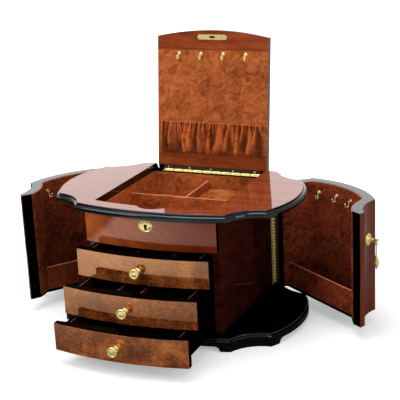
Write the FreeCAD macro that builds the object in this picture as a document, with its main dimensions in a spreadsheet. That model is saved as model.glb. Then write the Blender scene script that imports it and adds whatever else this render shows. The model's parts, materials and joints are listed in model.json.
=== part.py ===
"""Jewelry box with a lifting lid, a lined tray, three drawers and two swinging side doors.

Millimetres. The origin is the centre of the plan on the floor, +Z is up and the drawers face -Y.
The lid, the drawers and the doors are drawn closed and then placed as they stand open.
"""
import FreeCAD
import Part
import Sketcher
import math
import os
from types import SimpleNamespace

V = FreeCAD.Vector
doc = FreeCAD.newDocument("jewelry_box")
sheet = doc.addObject("Spreadsheet::Sheet", "sizes")

SIZES = [
    # outline of the top and of the base: a bow at the front, a bulge at each side, hollows between
    ("total_height", 230.0, "floor to the top of the rim"),
    ("bow_past", 18.1, "where the front bow ends, past the outer face of a side wall"),
    ("bow_cusp_y", 132.0, "where the front bow ends, from the centre"),
    ("bulge_past", 73.1, "where the side bulge ends, past the outer face of a side wall"),
    ("bulge_cusp_y", 92.5, "where the side bulge ends, from the centre"),
    ("bow_rise", 17.0, "height of the front bow over its cusps"),
    ("bulge_rise", 26.0, "height of the side bulge over its cusps"),
    ("ogee_hollow", 10.0, "depth of the hollow between bow and bulge"),
    # base
    ("foot_height", 9.0, "bracket foot under the apron"),
    ("foot_thick", 12.0, "bracket foot from its outer face inwards"),
    ("foot_reach", 26.0, "bracket foot past the cusps"),
    ("apron_height", 9.6, "lower moulding"),
    ("apron_round", 1.5, "round on the lower moulding"),
    ("step_height", 3.9, "upper moulding"),
    ("step_inset", 3.0, "upper moulding behind the lower one"),
    ("step_round", 2.5, "round on the upper moulding"),
    # case
    ("bay_half", 103.2, "inner face of a side wall"),
    ("side_thick", 13.2, "side wall"),
    ("stile_wide", 5.0, "strip that carries a door, beside the side wall"),
    ("rebate", 3.0, "step in the side wall that carries the tray"),
    ("case_front", 117.0, "back of the drawer fronts, from the centre"),
    ("case_rear", 126.0, "inner face of the back"),
    ("back_thick", 8.2, "back panel"),
    ("front_gap", 0.4, "side walls and shelves behind the drawer fronts"),
    ("shelf_thick", 4.0, "board between two drawers"),
    ("runner_gap", 0.3, "drawer over its board"),
    ("stile_depth", 15.6, "strip that carries a door, front to rear"),
    ("stile_past", 1.6, "that strip behind the axis of the door hinge"),
    # faces of the drawers, doors and fascia
    ("face_inset", 9.0, "outer faces behind the edge of the plan"),
    ("veneer", 1.0, "face veneer"),
    # drawers
    ("fascia_tall", 51.8, "fascia over the drawers"),
    ("drawer_gap", 1.6, "gap above and below each drawer front"),
    ("front_short", 0.6, "drawer front behind the outer face of a side wall"),
    ("front_round", 0.8, "eased upright edges of the lid, its rails and the tray's dividers"),
    ("box_gap", 1.7, "drawer box beside a side wall"),
    ("box_rear_gap", 5.0, "drawer box before the back"),
    ("box_lift", 1.8, "drawer box over the foot of its front"),
    ("box_short", 2.0, "drawer box below the top of its front"),
    ("box_wall", 5.6, "wall of a drawer box"),
    ("box_floor", 4.0, "floor of a drawer box"),
    ("lining_wall", 1.4, "lining on the walls"),
    ("lining_floor", 1.2, "lining on the floor"),
    ("lining_drop", 0.6, "lining below the rim of its box"),
    ("divider", 2.4, "divider in a drawer"),
    ("divider_drop", 6.0, "divider below the lining's rim"),
    ("top_divider_left", 21.0, "top drawer, left divider"),
    ("top_divider_right", 42.0, "top drawer, right divider"),
    ("middle_divider_left", 33.0, "middle drawer, left divider"),
    ("middle_divider_right", 7.0, "middle drawer, right divider"),
    ("top_out", 36.2, "top drawer pulled out"),
    ("middle_out", 87.2, "middle drawer pulled out"),
    ("bottom_out", 125.2, "bottom drawer pulled out"),
    # drawer knobs
    ("knob_radius", 8.5, "rim of the knob"),
    ("knob_reach", 16.0, "knob in front of the drawer"),
    ("knob_head", 5.5, "thickness of the knob's head"),
    ("knob_rim", 3.2, "upright rim of the head"),
    ("knob_dish", 1.0, "hollow in the knob's face"),
    ("knob_dish_radius", 5.3, "hollow in the knob's face"),
    ("knob_neck", 2.9, "neck behind the head"),
    ("knob_collar", 5.2, "collar against the drawer front"),
    ("knob_collar_thick", 1.6, "collar against the drawer front"),
    ("stem_radius", 2.0, "stem through the drawer front"),
    ("stem_gap", 0.05, "stem in its hole"),
    ("screw_radius", 4.0, "head behind the drawer front"),
    ("screw_deep", 1.5, "recess of that head"),
    # top
    ("top_plate_thick", 9.5, "moulded rim"),
    ("plate_round", 5.0, "upper round of the moulded rim"),
    ("plate_under_round", 1.2, "lower round of the moulded rim"),
    ("top_veneer_thick", 3.0, "veneered field of the rim"),
    ("top_veneer_inset", 5.5, "veneered field behind the edge"),
    ("top_veneer_round", 0.8, "slope at the edge of the veneered field"),
    ("notch_half", 24.0, "finger notch in front of the lid"),
    ("notch_deep", 11.5, "finger notch"),
    # tray
    ("tray_depth", 45.5, "tray below the rim"),
    ("rim_drop", 0.1, "tray and ledges below the rim"),
    ("tray_gap", 0.2, "tray in its opening"),
    ("tray_wall", 1.4, "lined wall of the tray"),
    ("tray_floor", 3.0, "lined floor of the tray"),
    ("front_ledge_deep", 15.0, "rail under the front of the lid"),
    ("rear_ledge_deep", 7.4, "rail under the lid hinge"),
    ("grid_thick", 3.0, "divider in the tray"),
    ("grid_drop", 11.4, "divider below the tray's rim"),
    ("long_divider_y", 17.0, "long divider"),
    ("cross_divider_x", 0.0, "cross divider behind the long one"),
    ("front_ledge_tall", 8.0, "rail under the front of the lid"),
    ("rear_ledge_tall", 17.4, "rail under the lid hinge"),
    # ring rolls
    ("roll_crown", 20.0, "ring rolls over the tray's floor"),
    ("roll_groove", 5.2, "groove between two rolls"),
    ("pad_gap", 0.3, "rolls in their compartment"),
    # lid
    ("lid_over", 2.8, "lid past the inner face of a side wall"),
    ("rim_gap", 1.0, "gap round the lid"),
    ("lid_inset", 31.5, "front of the lid behind the edge of the plan"),
    ("lid_gap", 0.2, "closed lid over the rim's underside"),
    ("lid_lining_thick", 1.4, "rails and lining inside the lid"),
    ("lid_veneer_thick", 1.4, "veneer on the lid"),
    ("lid_open", 96.9, "lid opened, degrees"),
    ("rear_rail", 30.0, "rear rail ends at this distance from the hinge"),
    ("pocket_end", 91.0, "mouth of the pocket, from the hinge"),
    ("panel_end", 218.5, "front rail starts at this distance from the hinge"),
    ("pocket_margin", 2.6, "pocket from the side of the lid"),
    ("pocket_seam", 1.4, "depth of the pocket at its seam"),
    ("pocket_foot", 6.0, "depth of the pocket just above its seam"),
    ("pocket_foot_at", 7.0, "that depth, from the seam"),
    ("pocket_bulge", 7.0, "pocket in front of the lining"),
    ("pocket_bulge_at", 14.0, "deepest line of the pocket, from its mouth"),
    ("pocket_mouth", 4.2, "depth of the pocket at its mouth"),
    ("pocket_fold", 0.9, "depth of one gathered fold"),
    ("pocket_gap", 0.3, "pocket beside the rear rail and narrower at its two edges"),
    ("lid_hooks_at", 212.0, "row of hooks, from the hinge"),
    ("lid_hook_pitch", 42.6, "between two hooks"),
    ("strike_at", 241.8, "strike plate, from the hinge"),
    ("strike_half", 28.0, "half the length of the strike plate"),
    ("strike_wide", 9.0, "strike plate"),
    ("strike_thick", 1.0, "strike plate"),
    ("strike_round", 4.0, "rounded ends of the strike plate"),
    ("strike_slot_gap", 0.4, "bolt in the strike plate"),
    ("bolt_pocket_gap", 0.9, "bolt in the lid's pocket"),
    ("lining_round", 0.3, "corners of the lid's lining"),
    # lid hinge
    ("lid_hinge_out", 2.2, "axis of the lid hinge behind the back"),
    ("lid_knuckle", 2.0, "knuckle radius"),
    ("leaf_thick", 1.2, "leaf of the lid hinge"),
    ("leaf_deep", 8.5, "leaf of the lid hinge, from the axis"),
    ("hinge_margin", 12.0, "lid hinge from the side of the lid"),
    ("pin_radius", 1.0, "hinge pin"),
    ("pin_gap", 0.06, "pin in its knuckles"),
    ("knuckle_gap", 0.3, "between two knuckles"),
    # lock
    ("lock_half", 20.0, "half the width of the lock case"),
    ("lock_tall", 23.0, "lock case below the rail that carries it"),
    ("bolt_half", 4.5, "half the width of the bolt"),
    ("bolt_thick", 3.0, "bolt"),
    ("bolt_gap", 0.2, "bolt in its slot"),
    ("bolt_round", 0.4, "upper edge of the bolt"),
    ("bolt_seat", 4.0, "bolt over the foot of the lock case"),
    ("bolt_travel", 5.5, "bolt rises into the strike plate"),
    ("keyhole_down", 12.9, "keyhole below the rim"),
    ("keyhole_radius", 2.2, "round of the keyhole"),
    ("keyhole_drop", 5.0, "slot of the keyhole"),
    ("escutcheon_half", 12.5, "half the width of the escutcheon"),
    ("escutcheon_rise", 10.0, "half the height of the escutcheon"),
    ("escutcheon_thick", 1.3, "escutcheon"),
    # doors
    ("door_gap", 0.8, "door below the rim and over the base"),
    ("door_end_gap", 1.0, "door beside the drawer fronts"),
    ("door_thick", 17.6, "door with its veneer"),
    ("door_round", 18.5, "inner corner of a door where its bulge meets the hollow"),
    ("door_lining", 1.6, "lining of the door"),
    ("door_floor", 5.0, "foot of the door under the pocket"),
    ("pocket_past", 7.4, "panel of the door pocket, from the axis of the hinge"),
    ("pocket_thick", 3.5, "panel of the door pocket"),
    ("pocket_tall", 47.5, "panel of the door pocket over the door's foot"),
    ("door_hinge_y", 119.0, "axis of a door hinge"),
    ("door_knuckle", 2.2, "knuckle radius"),
    ("door_leaf", 1.0, "leaf of a door hinge"),
    ("door_leaf_deep", 10.0, "leaf of a door hinge, from the axis"),
    ("door_pin", 1.1, "hinge pin"),
    ("right_open", 54.7, "right door opened, degrees"),
    ("left_open", 37.2, "left door opened, degrees"),
    ("door_hook_down", 18.2, "hooks below the top of a door"),
    ("door_hook_pitch", 14.6, "between two hooks, degrees about the bulge"),
    # door pulls
    ("pull_down", 61.7, "rosette of a door pull below the top of the door"),
    ("pull_aside", 11.0, "rosette from the middle of the hollow towards the bulge, degrees"),
    ("rosette_radius", 10.5, "rosette"),
    ("rosette_thick", 1.8, "rosette"),
    ("boss_radius", 5.6, "boss on the rosette"),
    ("boss_tall", 1.2, "boss on the rosette"),
    ("post_radius", 2.4, "post on the rosette"),
    ("pull_reach", 15.0, "pivot of the pendant, from the rosette's back"),
    ("fork_half", 3.6, "half the width of the fork"),
    ("pivot_radius", 0.8, "pivot of the pendant"),
    ("eye_half", 1.5, "half the width of the pendant's eye"),
    ("eye_radius", 2.7, "eye of the pendant"),
    ("eye_gap", 0.3, "eye in its fork"),
    ("bridge_thick", 1.5, "bridge between the arms of the fork"),
    ("pendant_shank", 1.2, "slender part of the pendant"),
    ("bead_radius", 2.4, "bead under the eye"),
    ("bead_from", 5.0, "upper end of the bead, below the pivot"),
    ("bead_tall", 2.4, "bead under the eye"),
    ("drop_from", 25.0, "upper end of the drop, below the pivot"),
    ("drop_at", 39.0, "widest part of the drop, below the pivot"),
    ("drop_radius", 4.4, "widest part of the drop"),
    ("drop_to", 46.5, "lower end of the drop, below the pivot"),
    ("finial_radius", 1.5, "finial at the foot of the pendant"),
    ("pendant_long", 50.0, "pendant below its pivot"),
    # hooks
    ("hook_wire", 1.0, "half the thickness of the hook"),
    ("hook_plate", 3.3, "half the width of the hook's plate"),
    ("hook_plate_thick", 0.9, "hook's plate"),
    ("hook_stem", 2.5, "straight stem"),
    ("hook_bend", 1.8, "bend down"),
    ("hook_drop", 6.5, "shank below the stem"),
    ("hook_throat", 3.6, "bend up"),
    ("hook_tip", 3.0, "tip above the bend"),
    ("hook_point", 0.8, "point over the tip"),
    ("hook_seat", 0.05, "hook's plate over a hollow lining"),
]
for row, (alias, number, note) in enumerate(SIZES, 1):
    sheet.set(f"A{row}", note)
    sheet.set(f"B{row}", str(number))
    sheet.setAlias(f"B{row}", alias)
doc.recompute()

DRAWER_WORDS = ("bottom", "middle", "top")
LID_KNUCKLES = 10
DOOR_KNUCKLES = 9
LID_HOOKS = 4
DOOR_HOOKS = 4
POCKET_FOLDS = 14
RING_ROLLS = 6
POCKET_TAUT = 0.25


class Size:
    """A number that also carries its formula in the names of the sheet."""

    def __init__(self, value, text=None):
        self.value = float(value)
        self.text = text if text else f"({self.value!r})"

    def __add__(self, other):
        other = size(other)
        return Size(self.value + other.value, f"({self.text} + {other.text})")

    def __sub__(self, other):
        other = size(other)
        return Size(self.value - other.value, f"({self.text} - {other.text})")

    def __mul__(self, other):
        other = size(other)
        return Size(self.value * other.value, f"({self.text} * {other.text})")

    def __truediv__(self, other):
        other = size(other)
        return Size(self.value / other.value, f"({self.text} / {other.text})")

    def __pow__(self, power):
        return Size(self.value ** power, f"({self.text}^{power})")

    def __neg__(self):
        return Size(-self.value, f"(0 - {self.text})")

    def __radd__(self, other):
        return size(other) + self

    def __rsub__(self, other):
        return size(other) - self

    def __rmul__(self, other):
        return size(other) * self


def size(number):
    return number if isinstance(number, Size) else Size(number)


def sqrt(a):
    return Size(math.sqrt(a.value), f"sqrt({a.text})")


def sin(a):
    return Size(math.sin(math.radians(a.value)), f"sin({a.text})")


def cos(a):
    return Size(math.cos(math.radians(a.value)), f"cos({a.text})")


def atan(a):
    return Size(math.degrees(math.atan(a.value)), f"(atan({a.text}) / 1deg)")


s = SimpleNamespace(**{alias: Size(sheet.get(alias), f"sizes.{alias}") for alias, number, note in SIZES})

# heights that several pieces share
APRON_TOP = s.foot_height + s.apron_height
DECK = APRON_TOP + s.step_height
RIM = s.total_height - s.top_veneer_thick - s.top_plate_thick
TRAY_TOP = RIM - s.rim_drop
TRAY_SEAT = RIM - s.tray_depth
FASCIA_Z = RIM - s.fascia_tall
PITCH = (FASCIA_Z - DECK - s.drawer_gap) / len(DRAWER_WORDS)
FRONT_TALL = PITCH - s.drawer_gap
FRONT_Z = [DECK + s.drawer_gap + PITCH * level for level in range(len(DRAWER_WORDS))]
BOX_TALL = FRONT_TALL - s.box_lift - s.box_short
KEYHOLE_Z = RIM - s.keyhole_down

# widths and depths that several pieces share
SIDE_OUT = s.bay_half + s.side_thick
FRONT_HALF = SIDE_OUT - s.front_short
BOX_HALF = s.bay_half - s.box_gap
BOX_REAR = s.case_rear - s.box_rear_gap
LID_HALF = s.bay_half + s.lid_over
HINGE_HALF = LID_HALF - s.hinge_margin
POCKET_HALF = LID_HALF - s.pocket_margin
TRAY_FRONT = s.case_front - s.front_ledge_deep - s.tray_gap
TRAY_REAR = s.case_rear - s.rear_ledge_deep - s.tray_gap
TRAY_BAY = s.bay_half + s.rebate
BACK_OUT = s.case_rear + s.back_thick
LID_HINGE_Y = BACK_OUT + s.lid_hinge_out
BOW_X = SIDE_OUT + s.bow_past
BULGE_X = SIDE_OUT + s.bulge_past
STILE_X = SIDE_OUT + s.stile_wide
DOOR_HINGE_X = STILE_X + s.door_knuckle
DOOR_END_X = DOOR_HINGE_X + s.door_knuckle
POCKET_X = DOOR_HINGE_X + s.pocket_past
BEHIND_FRONTS = s.case_front - s.front_gap
SHELL_INSET = s.face_inset + s.veneer
DOOR_INNER = s.face_inset + s.door_thick
DOOR_Z = DECK + s.door_gap
DOOR_TOP = RIM - s.door_gap
HOOK_Z = DOOR_TOP - s.door_hook_down
PULL_Z = DOOR_TOP - s.pull_down
FAR = BULGE_X + s.bulge_rise + s.bow_cusp_y

# arcs of the plan
HALF_CHORD = sqrt((BULGE_X - BOW_X) ** 2 + (s.bow_cusp_y - s.bulge_cusp_y) ** 2) / 2
BOW_R = (BOW_X ** 2 + s.bow_rise ** 2) / (2 * s.bow_rise)
BULGE_R = (s.bulge_cusp_y ** 2 + s.bulge_rise ** 2) / (2 * s.bulge_rise)
OGEE_R = (HALF_CHORD ** 2 + s.ogee_hollow ** 2) / (2 * s.ogee_hollow)
BOW_C = BOW_R - s.bow_cusp_y - s.bow_rise
BULGE_C = BULGE_X + s.bulge_rise - BULGE_R
NORMAL_X = (s.bow_cusp_y - s.bulge_cusp_y) / (2 * HALF_CHORD)
NORMAL_Y = (BULGE_X - BOW_X) / (2 * HALF_CHORD)
MIDDLE_X = (BOW_X + BULGE_X) / 2
MIDDLE_Y = (s.bow_cusp_y + s.bulge_cusp_y) / 2
OGEE_CX = MIDDLE_X + (OGEE_R - s.ogee_hollow) * NORMAL_X
OGEE_CY = MIDDLE_Y + (OGEE_R - s.ogee_hollow) * NORMAL_Y


def bind(obj, **formulas):
    for name, formula in formulas.items():
        obj.setExpression(name.replace("__", "."), size(formula).text)
    return obj


def at(obj, x=0, y=0, z=0):
    """Move obj to a point of the frame."""
    return bind(obj, Placement__Base__x=x, Placement__Base__y=y, Placement__Base__z=z)


def add(kind, name, **formulas):
    return bind(doc.addObject(kind, name), **formulas)


def span(pair):
    """Lower end and length of a pair of ends, in either order."""
    low, high = sorted((size(pair[0]), size(pair[1])), key=lambda end: end.value)
    return low, high - low


def box(name, x, y, z):
    (x0, dx), (y0, dy), (z0, dz) = span(x), span(y), span(z)
    return at(add("Part::Box", name, Length=dx, Width=dy, Height=dz), x0, y0, z0)


AXES = {"X": (1, 0, 0), "Y": (0, 1, 0), "Z": (0, 0, 1)}
PLANES = {
    "XY": FreeCAD.Rotation(),
    "XZ": FreeCAD.Rotation(V(1, 0, 0), 90),
    "YZ": FreeCAD.Rotation(V(0, 1, 0), V(0, 0, 1), V(1, 0, 0)),
}


def rod(name, radius, length, axis="Z", x=0, y=0, z=0):
    """Cylinder from a point towards +X, +Y or +Z."""
    obj = add("Part::Cylinder", name, Radius=radius, Height=length)
    obj.Placement = FreeCAD.Placement(V(0, 0, 0), FreeCAD.Rotation(V(0, 0, 1), V(*AXES[axis])))
    return at(obj, x, y, z)


def fuse(name, *pieces):
    obj = doc.addObject("Part::MultiFuse", name)
    obj.Shapes = list(pieces)
    return obj


def cut(name, base, *tools):
    obj = doc.addObject("Part::Cut", name)
    obj.Base = base
    obj.Tool = tools[0] if len(tools) == 1 else fuse(name + "_tools", *tools)
    return obj


def common(name, base, tool):
    obj = doc.addObject("Part::Common", name)
    obj.Base = base
    obj.Tool = tool
    return obj


def rounded(name, base, radius, pick):
    """Round the edges of base whose bounding box pick accepts."""
    doc.recompute()
    obj = doc.addObject("Part::Fillet", name)
    obj.Base = base
    edges = [i for i, edge in enumerate(base.Shape.Edges, 1) if pick(edge.BoundBox)]
    obj.Edges = [(i, size(radius).value, size(radius).value) for i in edges]
    return obj


def level(z):
    """Accept edges that lie flat at the height z."""
    return lambda b: abs(b.ZMin - z.value) < 1e-4 and abs(b.ZMax - z.value) < 1e-4


def upright(b):
    return b.ZLength > 0.1 and b.XLength < 1e-4 and b.YLength < 1e-4


def pinned(sketch, line, end, x, y):
    """Hold an end or a centre of a line or arc at a point."""
    for kind, value in (("DistanceX", x), ("DistanceY", y)):
        value = size(value)
        index = sketch.addConstraint(Sketcher.Constraint(kind, -1, 1, line, end, value.value))
        sketch.setExpression(f"Constraints[{index}]", value.text)


def radius_held(sketch, line, radius):
    index = sketch.addConstraint(Sketcher.Constraint("Radius", line, radius.value))
    sketch.setExpression(f"Constraints[{index}]", radius.text)


def add_arc(sketch, centre, start, end, radius, turn):
    """Arc from start to end, counterclockwise where turn is 1; gives the numbers of its two ends."""
    first = math.atan2(start[1] - centre[1], start[0] - centre[0])
    last = math.atan2(end[1] - centre[1], end[0] - centre[0])
    if turn < 0:
        first, last = last, first
    if last < first:
        last += 2 * math.pi
    circle = Part.Circle(V(centre[0], centre[1], 0), V(0, 0, 1), radius)
    sketch.addGeometry(Part.ArcOfCircle(circle, first, last), False)
    return (1, 2) if turn > 0 else (2, 1)


def closed(sketch, ends):
    """Join each line or arc to the next."""
    count = len(ends)
    for i in range(count):
        after = (i + 1) % count
        sketch.addConstraint(Sketcher.Constraint("Coincident", i, ends[i][1], after, ends[after][0]))


def profile(name, points, plane="XY", offset=0):
    """Closed outline through points, counterclockwise. A third number makes the side that starts at
    the point an arc of that radius, bulging outwards, or inwards where it is negative."""
    sketch = doc.addObject("Sketcher::SketchObject", name)
    sketch.Placement = FreeCAD.Placement(V(0, 0, 0), PLANES[plane])
    at(sketch, **{"XY": {"z": offset}, "XZ": {"y": offset}, "YZ": {"x": offset}}[plane])
    places = [(size(p[0]), size(p[1])) for p in points]
    ends = []
    for i, point in enumerate(points):
        a = [c.value for c in places[i]]
        b = [c.value for c in places[(i + 1) % len(points)]]
        if len(point) == 2:
            sketch.addGeometry(Part.LineSegment(V(a[0], a[1], 0), V(b[0], b[1], 0)), False)
            ends.append((1, 2))
            continue
        radius = size(point[2]).value
        turn = 1 if radius > 0 else -1
        chord = math.dist(a, b)
        rise = turn * math.sqrt(radius ** 2 - chord ** 2 / 4) / chord
        centre = ((a[0] + b[0]) / 2 - (b[1] - a[1]) * rise, (a[1] + b[1]) / 2 + (b[0] - a[0]) * rise)
        ends.append(add_arc(sketch, centre, a, b, abs(radius), turn))
    closed(sketch, ends)
    for i, (x, y) in enumerate(places):
        pinned(sketch, i, ends[i][0], x, y)
        if len(points[i]) == 3:
            radius = size(points[i][2])
            radius_held(sketch, i, radius if radius.value > 0 else -radius)
    return sketch


def crossing(centre1, radius1, centre2, radius2, near):
    """The crossing of two circles that is nearer to a point."""
    gap = math.dist(centre1, centre2)
    along = (radius1 ** 2 - radius2 ** 2 + gap ** 2) / (2 * gap)
    aside = math.sqrt(radius1 ** 2 - along ** 2)
    ux = (centre2[0] - centre1[0]) / gap
    uy = (centre2[1] - centre1[1]) / gap
    x, y = centre1[0] + along * ux, centre1[1] + along * uy
    found = [(x - aside * uy * k, y + aside * ux * k) for k in (1, -1)]
    return min(found, key=lambda p: math.dist(p, near))


def cusps(inset):
    """Ends of the hollow at the front right, on the outline moved inwards by inset."""
    middle, hollow = (OGEE_CX.value, -OGEE_CY.value), (OGEE_R + inset).value
    bow_end = (BOW_X.value, -s.bow_cusp_y.value)
    bulge_end = (BULGE_X.value, -s.bulge_cusp_y.value)
    return [
        crossing((0, BOW_C.value), (BOW_R - inset).value, middle, hollow, bow_end),
        crossing((BULGE_C.value, 0), (BULGE_R - inset).value, middle, hollow, bulge_end),
    ]


PLANS = {}


def plan(inset, z=0):
    """Outline of the box, all round, moved inwards by inset: two bows, two bulges, four hollows."""
    inset, z = size(inset), size(z)
    if (inset.text, z.text) in PLANS:
        return PLANS[inset.text, z.text]
    bow, bulge, hollow = BOW_R - inset, BULGE_R - inset, OGEE_R + inset
    front, side = quarter = cusps(inset)
    corners = [(-front[0], front[1])] + quarter + [(x, -y) for x, y in reversed(quarter)]
    corners += [(-x, -y) for x, y in quarter] + [(-side[0], side[1])]
    arcs = [
        (0, BOW_C, bow, 1), (OGEE_CX, -OGEE_CY, hollow, -1),
        (BULGE_C, 0, bulge, 1), (OGEE_CX, OGEE_CY, hollow, -1),
        (0, -BOW_C, bow, 1), (-OGEE_CX, OGEE_CY, hollow, -1),
        (-BULGE_C, 0, bulge, 1), (-OGEE_CX, -OGEE_CY, hollow, -1),
    ]
    sketch = doc.addObject("Sketcher::SketchObject", f"plan_{len(PLANS)}")
    ends = []
    for i, (x, y, radius, turn) in enumerate(arcs):
        centre = (size(x).value, size(y).value)
        ends.append(add_arc(sketch, centre, corners[i], corners[(i + 1) % 8], radius.value, turn))
    closed(sketch, ends)
    for i, (x, y, radius, turn) in enumerate(arcs):
        pinned(sketch, i, 3, x, y)
        radius_held(sketch, i, radius)
    PLANS[inset.text, z.text] = at(sketch, z=z)
    return sketch


def beside_bulge(inset):
    """Accept the upright edges where a bulge meets a hollow, on the outline moved inwards by inset."""
    x, y = cusps(inset)[1]
    return lambda b: upright(b) and abs(abs(b.XMin) - x) < 0.1 and abs(abs(b.YMin) + y) < 0.1


def bow_y(x, inset):
    """Depth of the front bow at the distance x from the middle."""
    return BOW_C - sqrt((BOW_R - inset) ** 2 - x ** 2)


def arched(name, half, rear, inset):
    """Straight sides and rear with a front that follows the bow."""
    side = bow_y(half, inset)
    return profile(name, [(-half, side, BOW_R - inset), (half, side), (half, rear), (-half, rear)])


def prism(name, sketch, z, direction=(0, 0, 1)):
    """Sketch drawn out between two heights."""
    z0, dz = span(z)
    obj = add("Part::Extrusion", name, LengthFwd=dz)
    obj.Base = sketch
    obj.DirMode = "Custom"
    obj.Dir = V(*direction)
    obj.Solid = True
    return at(obj, z=z0)


def turned_solid(name, sketch, axis):
    obj = doc.addObject("Part::Revolution", name)
    obj.Source = sketch
    obj.Axis = V(*AXES[axis])
    obj.Angle = 360
    obj.Solid = True
    return obj


def lofted(name, sections, ruled):
    obj = doc.addObject("Part::Loft", name)
    obj.Sections = sections
    obj.Solid = True
    obj.Ruled = ruled
    return obj


def easing(inset, z, radius, steps):
    """Insets and heights of a round that ends at the top of a moulding, at the height z."""
    turns = [math.pi / 2 * k / steps for k in range(steps + 1)]
    return [(inset + radius * (1 - math.cos(turn)), z - radius * (1 - math.sin(turn))) for turn in turns]


def moulding(name, bands):
    """Solid that passes through outlines of the plan, each given by its inset and its height."""
    return lofted(name, [plan(inset, z) for inset, z in bands], True)


NODES = []


def node(obj, label):
    obj.Label = label
    NODES.append(obj)
    return obj


AXIS_ONLY = 1  # degrees: gives a placement its axis before a formula sets the angle


def swing(obj, axis, angle, centre, start=(0, 0, 0), spin=0):
    """Turn obj about a line through centre, along X or Z; start is where obj was drawn, and spin
    turns it about its own start as well."""
    centre = [size(c) for c in centre]
    x, y, z = (size(a) - c for a, c in zip(start, centre))
    c, d = cos(angle), sin(angle)
    obj.Placement = FreeCAD.Placement(V(0, 0, 0), FreeCAD.Rotation(V(*AXES[axis]), AXIS_ONLY))
    obj.setExpression("Placement.Rotation.Angle", (size(angle) + spin).text)
    if axis == "X":
        return at(obj, centre[0] + x, centre[1] + y * c - z * d, centre[2] + y * d + z * c)
    return at(obj, centre[0] + x * c - y * d, centre[1] + x * d + y * c, centre[2] + z)


# Base: two mouldings that follow the plan, on four bracket feet, with the board under the drawers
apron = moulding("apron", [(0, s.foot_height)] + easing(0, APRON_TOP, s.apron_round, 1))
step = moulding("step", [(s.step_inset, APRON_TOP)] + easing(s.step_inset, DECK, s.step_round, 2))
foot_band = cut(
    "foot_band",
    prism("foot_outer", plan(0), (0, s.foot_height)),
    prism("foot_inner", plan(s.foot_thick), (0, s.foot_height)),
)
FOOT_X = BOW_X - s.foot_reach
FOOT_Y = s.bulge_cusp_y - s.foot_reach
open_front = box("open_front", (-FOOT_X, FOOT_X), (-FAR, FAR), (0, s.foot_height))
open_sides = box("open_sides", (-FAR, FAR), (-FOOT_Y, FOOT_Y), (0, s.foot_height))
coves = [rod(f"cove_x{k}", s.foot_height, 2 * FAR, "Y", x=k * FOOT_X, y=-FAR) for k in (-1, 1)]
coves += [rod(f"cove_y{k}", s.foot_height, 2 * FAR, "X", x=-FAR, y=k * FOOT_Y) for k in (-1, 1)]
feet = cut("feet", foot_band, open_front, open_sides, *coves)
floor_board = box(
    "floor_board", (-s.bay_half, s.bay_half), (-BEHIND_FRONTS, s.case_rear),
    (DECK, FRONT_Z[0] + s.box_lift - s.runner_gap),
)
node(fuse("base", apron, step, feet, floor_board), "base_plate")

# Case: two side walls with the tray's rebate and the strip for the door hinge, a back and two shelves
STILE_REAR = s.door_hinge_y + s.stile_past
for word, k in (("left", -1), ("right", 1)):
    deep = (-BEHIND_FRONTS, s.case_rear)
    wall = box(f"wall_{word}", (k * s.bay_half, k * SIDE_OUT), deep, (DECK, RIM))
    seat = box(f"seat_{word}", (k * s.bay_half, k * TRAY_BAY), deep, (TRAY_SEAT, RIM))
    at_hinge = (STILE_REAR - s.stile_depth, STILE_REAR)
    stile = box(f"stile_{word}", (k * SIDE_OUT, k * STILE_X), at_hinge, (DECK, RIM))
    node(fuse(f"side_{word}", cut(f"rebated_{word}", wall, seat), stile), f"case_side_{word}")

LEAF_FRONT = LID_HINGE_Y - s.leaf_deep
panel = box("back_panel", (-SIDE_OUT, SIDE_OUT), (s.case_rear, BACK_OUT), (DECK, TRAY_TOP))
rear_ledge = box(
    "rear_ledge", (-TRAY_BAY, TRAY_BAY), (TRAY_REAR + s.tray_gap, s.case_rear),
    (TRAY_TOP - s.rear_ledge_tall, TRAY_TOP),
)
leaf_seat = box(
    "leaf_seat", (-HINGE_HALF - s.knuckle_gap, HINGE_HALF + s.knuckle_gap), (LEAF_FRONT - s.tray_gap, FAR),
    (TRAY_TOP - s.leaf_thick, RIM),
)
node(cut("back", fuse("back_and_ledge", panel, rear_ledge), leaf_seat), "case_back")
for word, z in (("lower", FRONT_Z[1]), ("upper", FRONT_Z[2])):
    top = z + s.box_lift - s.runner_gap
    shelf = box(
        f"shelf_{word}", (-s.bay_half, s.bay_half), (-BEHIND_FRONTS, s.case_rear),
        (top - s.shelf_thick, top),
    )
    node(shelf, f"case_shelf_{word}")

# Fascia over the drawers, with the ledge under the front of the lid and the keyhole
LEDGE_REAR = -(TRAY_FRONT + s.tray_gap)
LEDGE_Z = TRAY_TOP - s.front_ledge_tall
BOLT_Y = LID_HINGE_Y - s.strike_at
FACE_Y = bow_y(size(0), s.face_inset)
fascia_plan = arched("fascia_plan", FRONT_HALF, -s.case_front, SHELL_INSET)
fascia = prism("fascia_raw", fascia_plan, (FASCIA_Z, RIM))
ledge = box("front_ledge", (-TRAY_BAY, TRAY_BAY), (-s.case_front, LEDGE_REAR), (LEDGE_Z, TRAY_TOP))
bolt_way = box(
    "bolt_way", (-s.bolt_half - s.bolt_gap, s.bolt_half + s.bolt_gap),
    (BOLT_Y - s.bolt_thick / 2 - s.bolt_gap, BOLT_Y + s.bolt_thick / 2 + s.bolt_gap), (LEDGE_Z, RIM),
)


def keyhole(name):
    """Round hole with a slot below it, right through the fascia."""
    hole = rod(name + "_round", s.keyhole_radius, FAR - s.case_front, "Y", y=-FAR, z=KEYHOLE_Z)
    slot = box(
        name + "_slot", (-s.keyhole_radius / 2, s.keyhole_radius / 2), (-FAR, -s.case_front),
        (KEYHOLE_Z - s.keyhole_drop, KEYHOLE_Z),
    )
    return fuse(name, hole, slot)


fascia_and_ledge = fuse("fascia_and_ledge", fascia, ledge)
node(cut("fascia", fascia_and_ledge, bolt_way, keyhole("fascia_keyhole")), "fascia_board")


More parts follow.
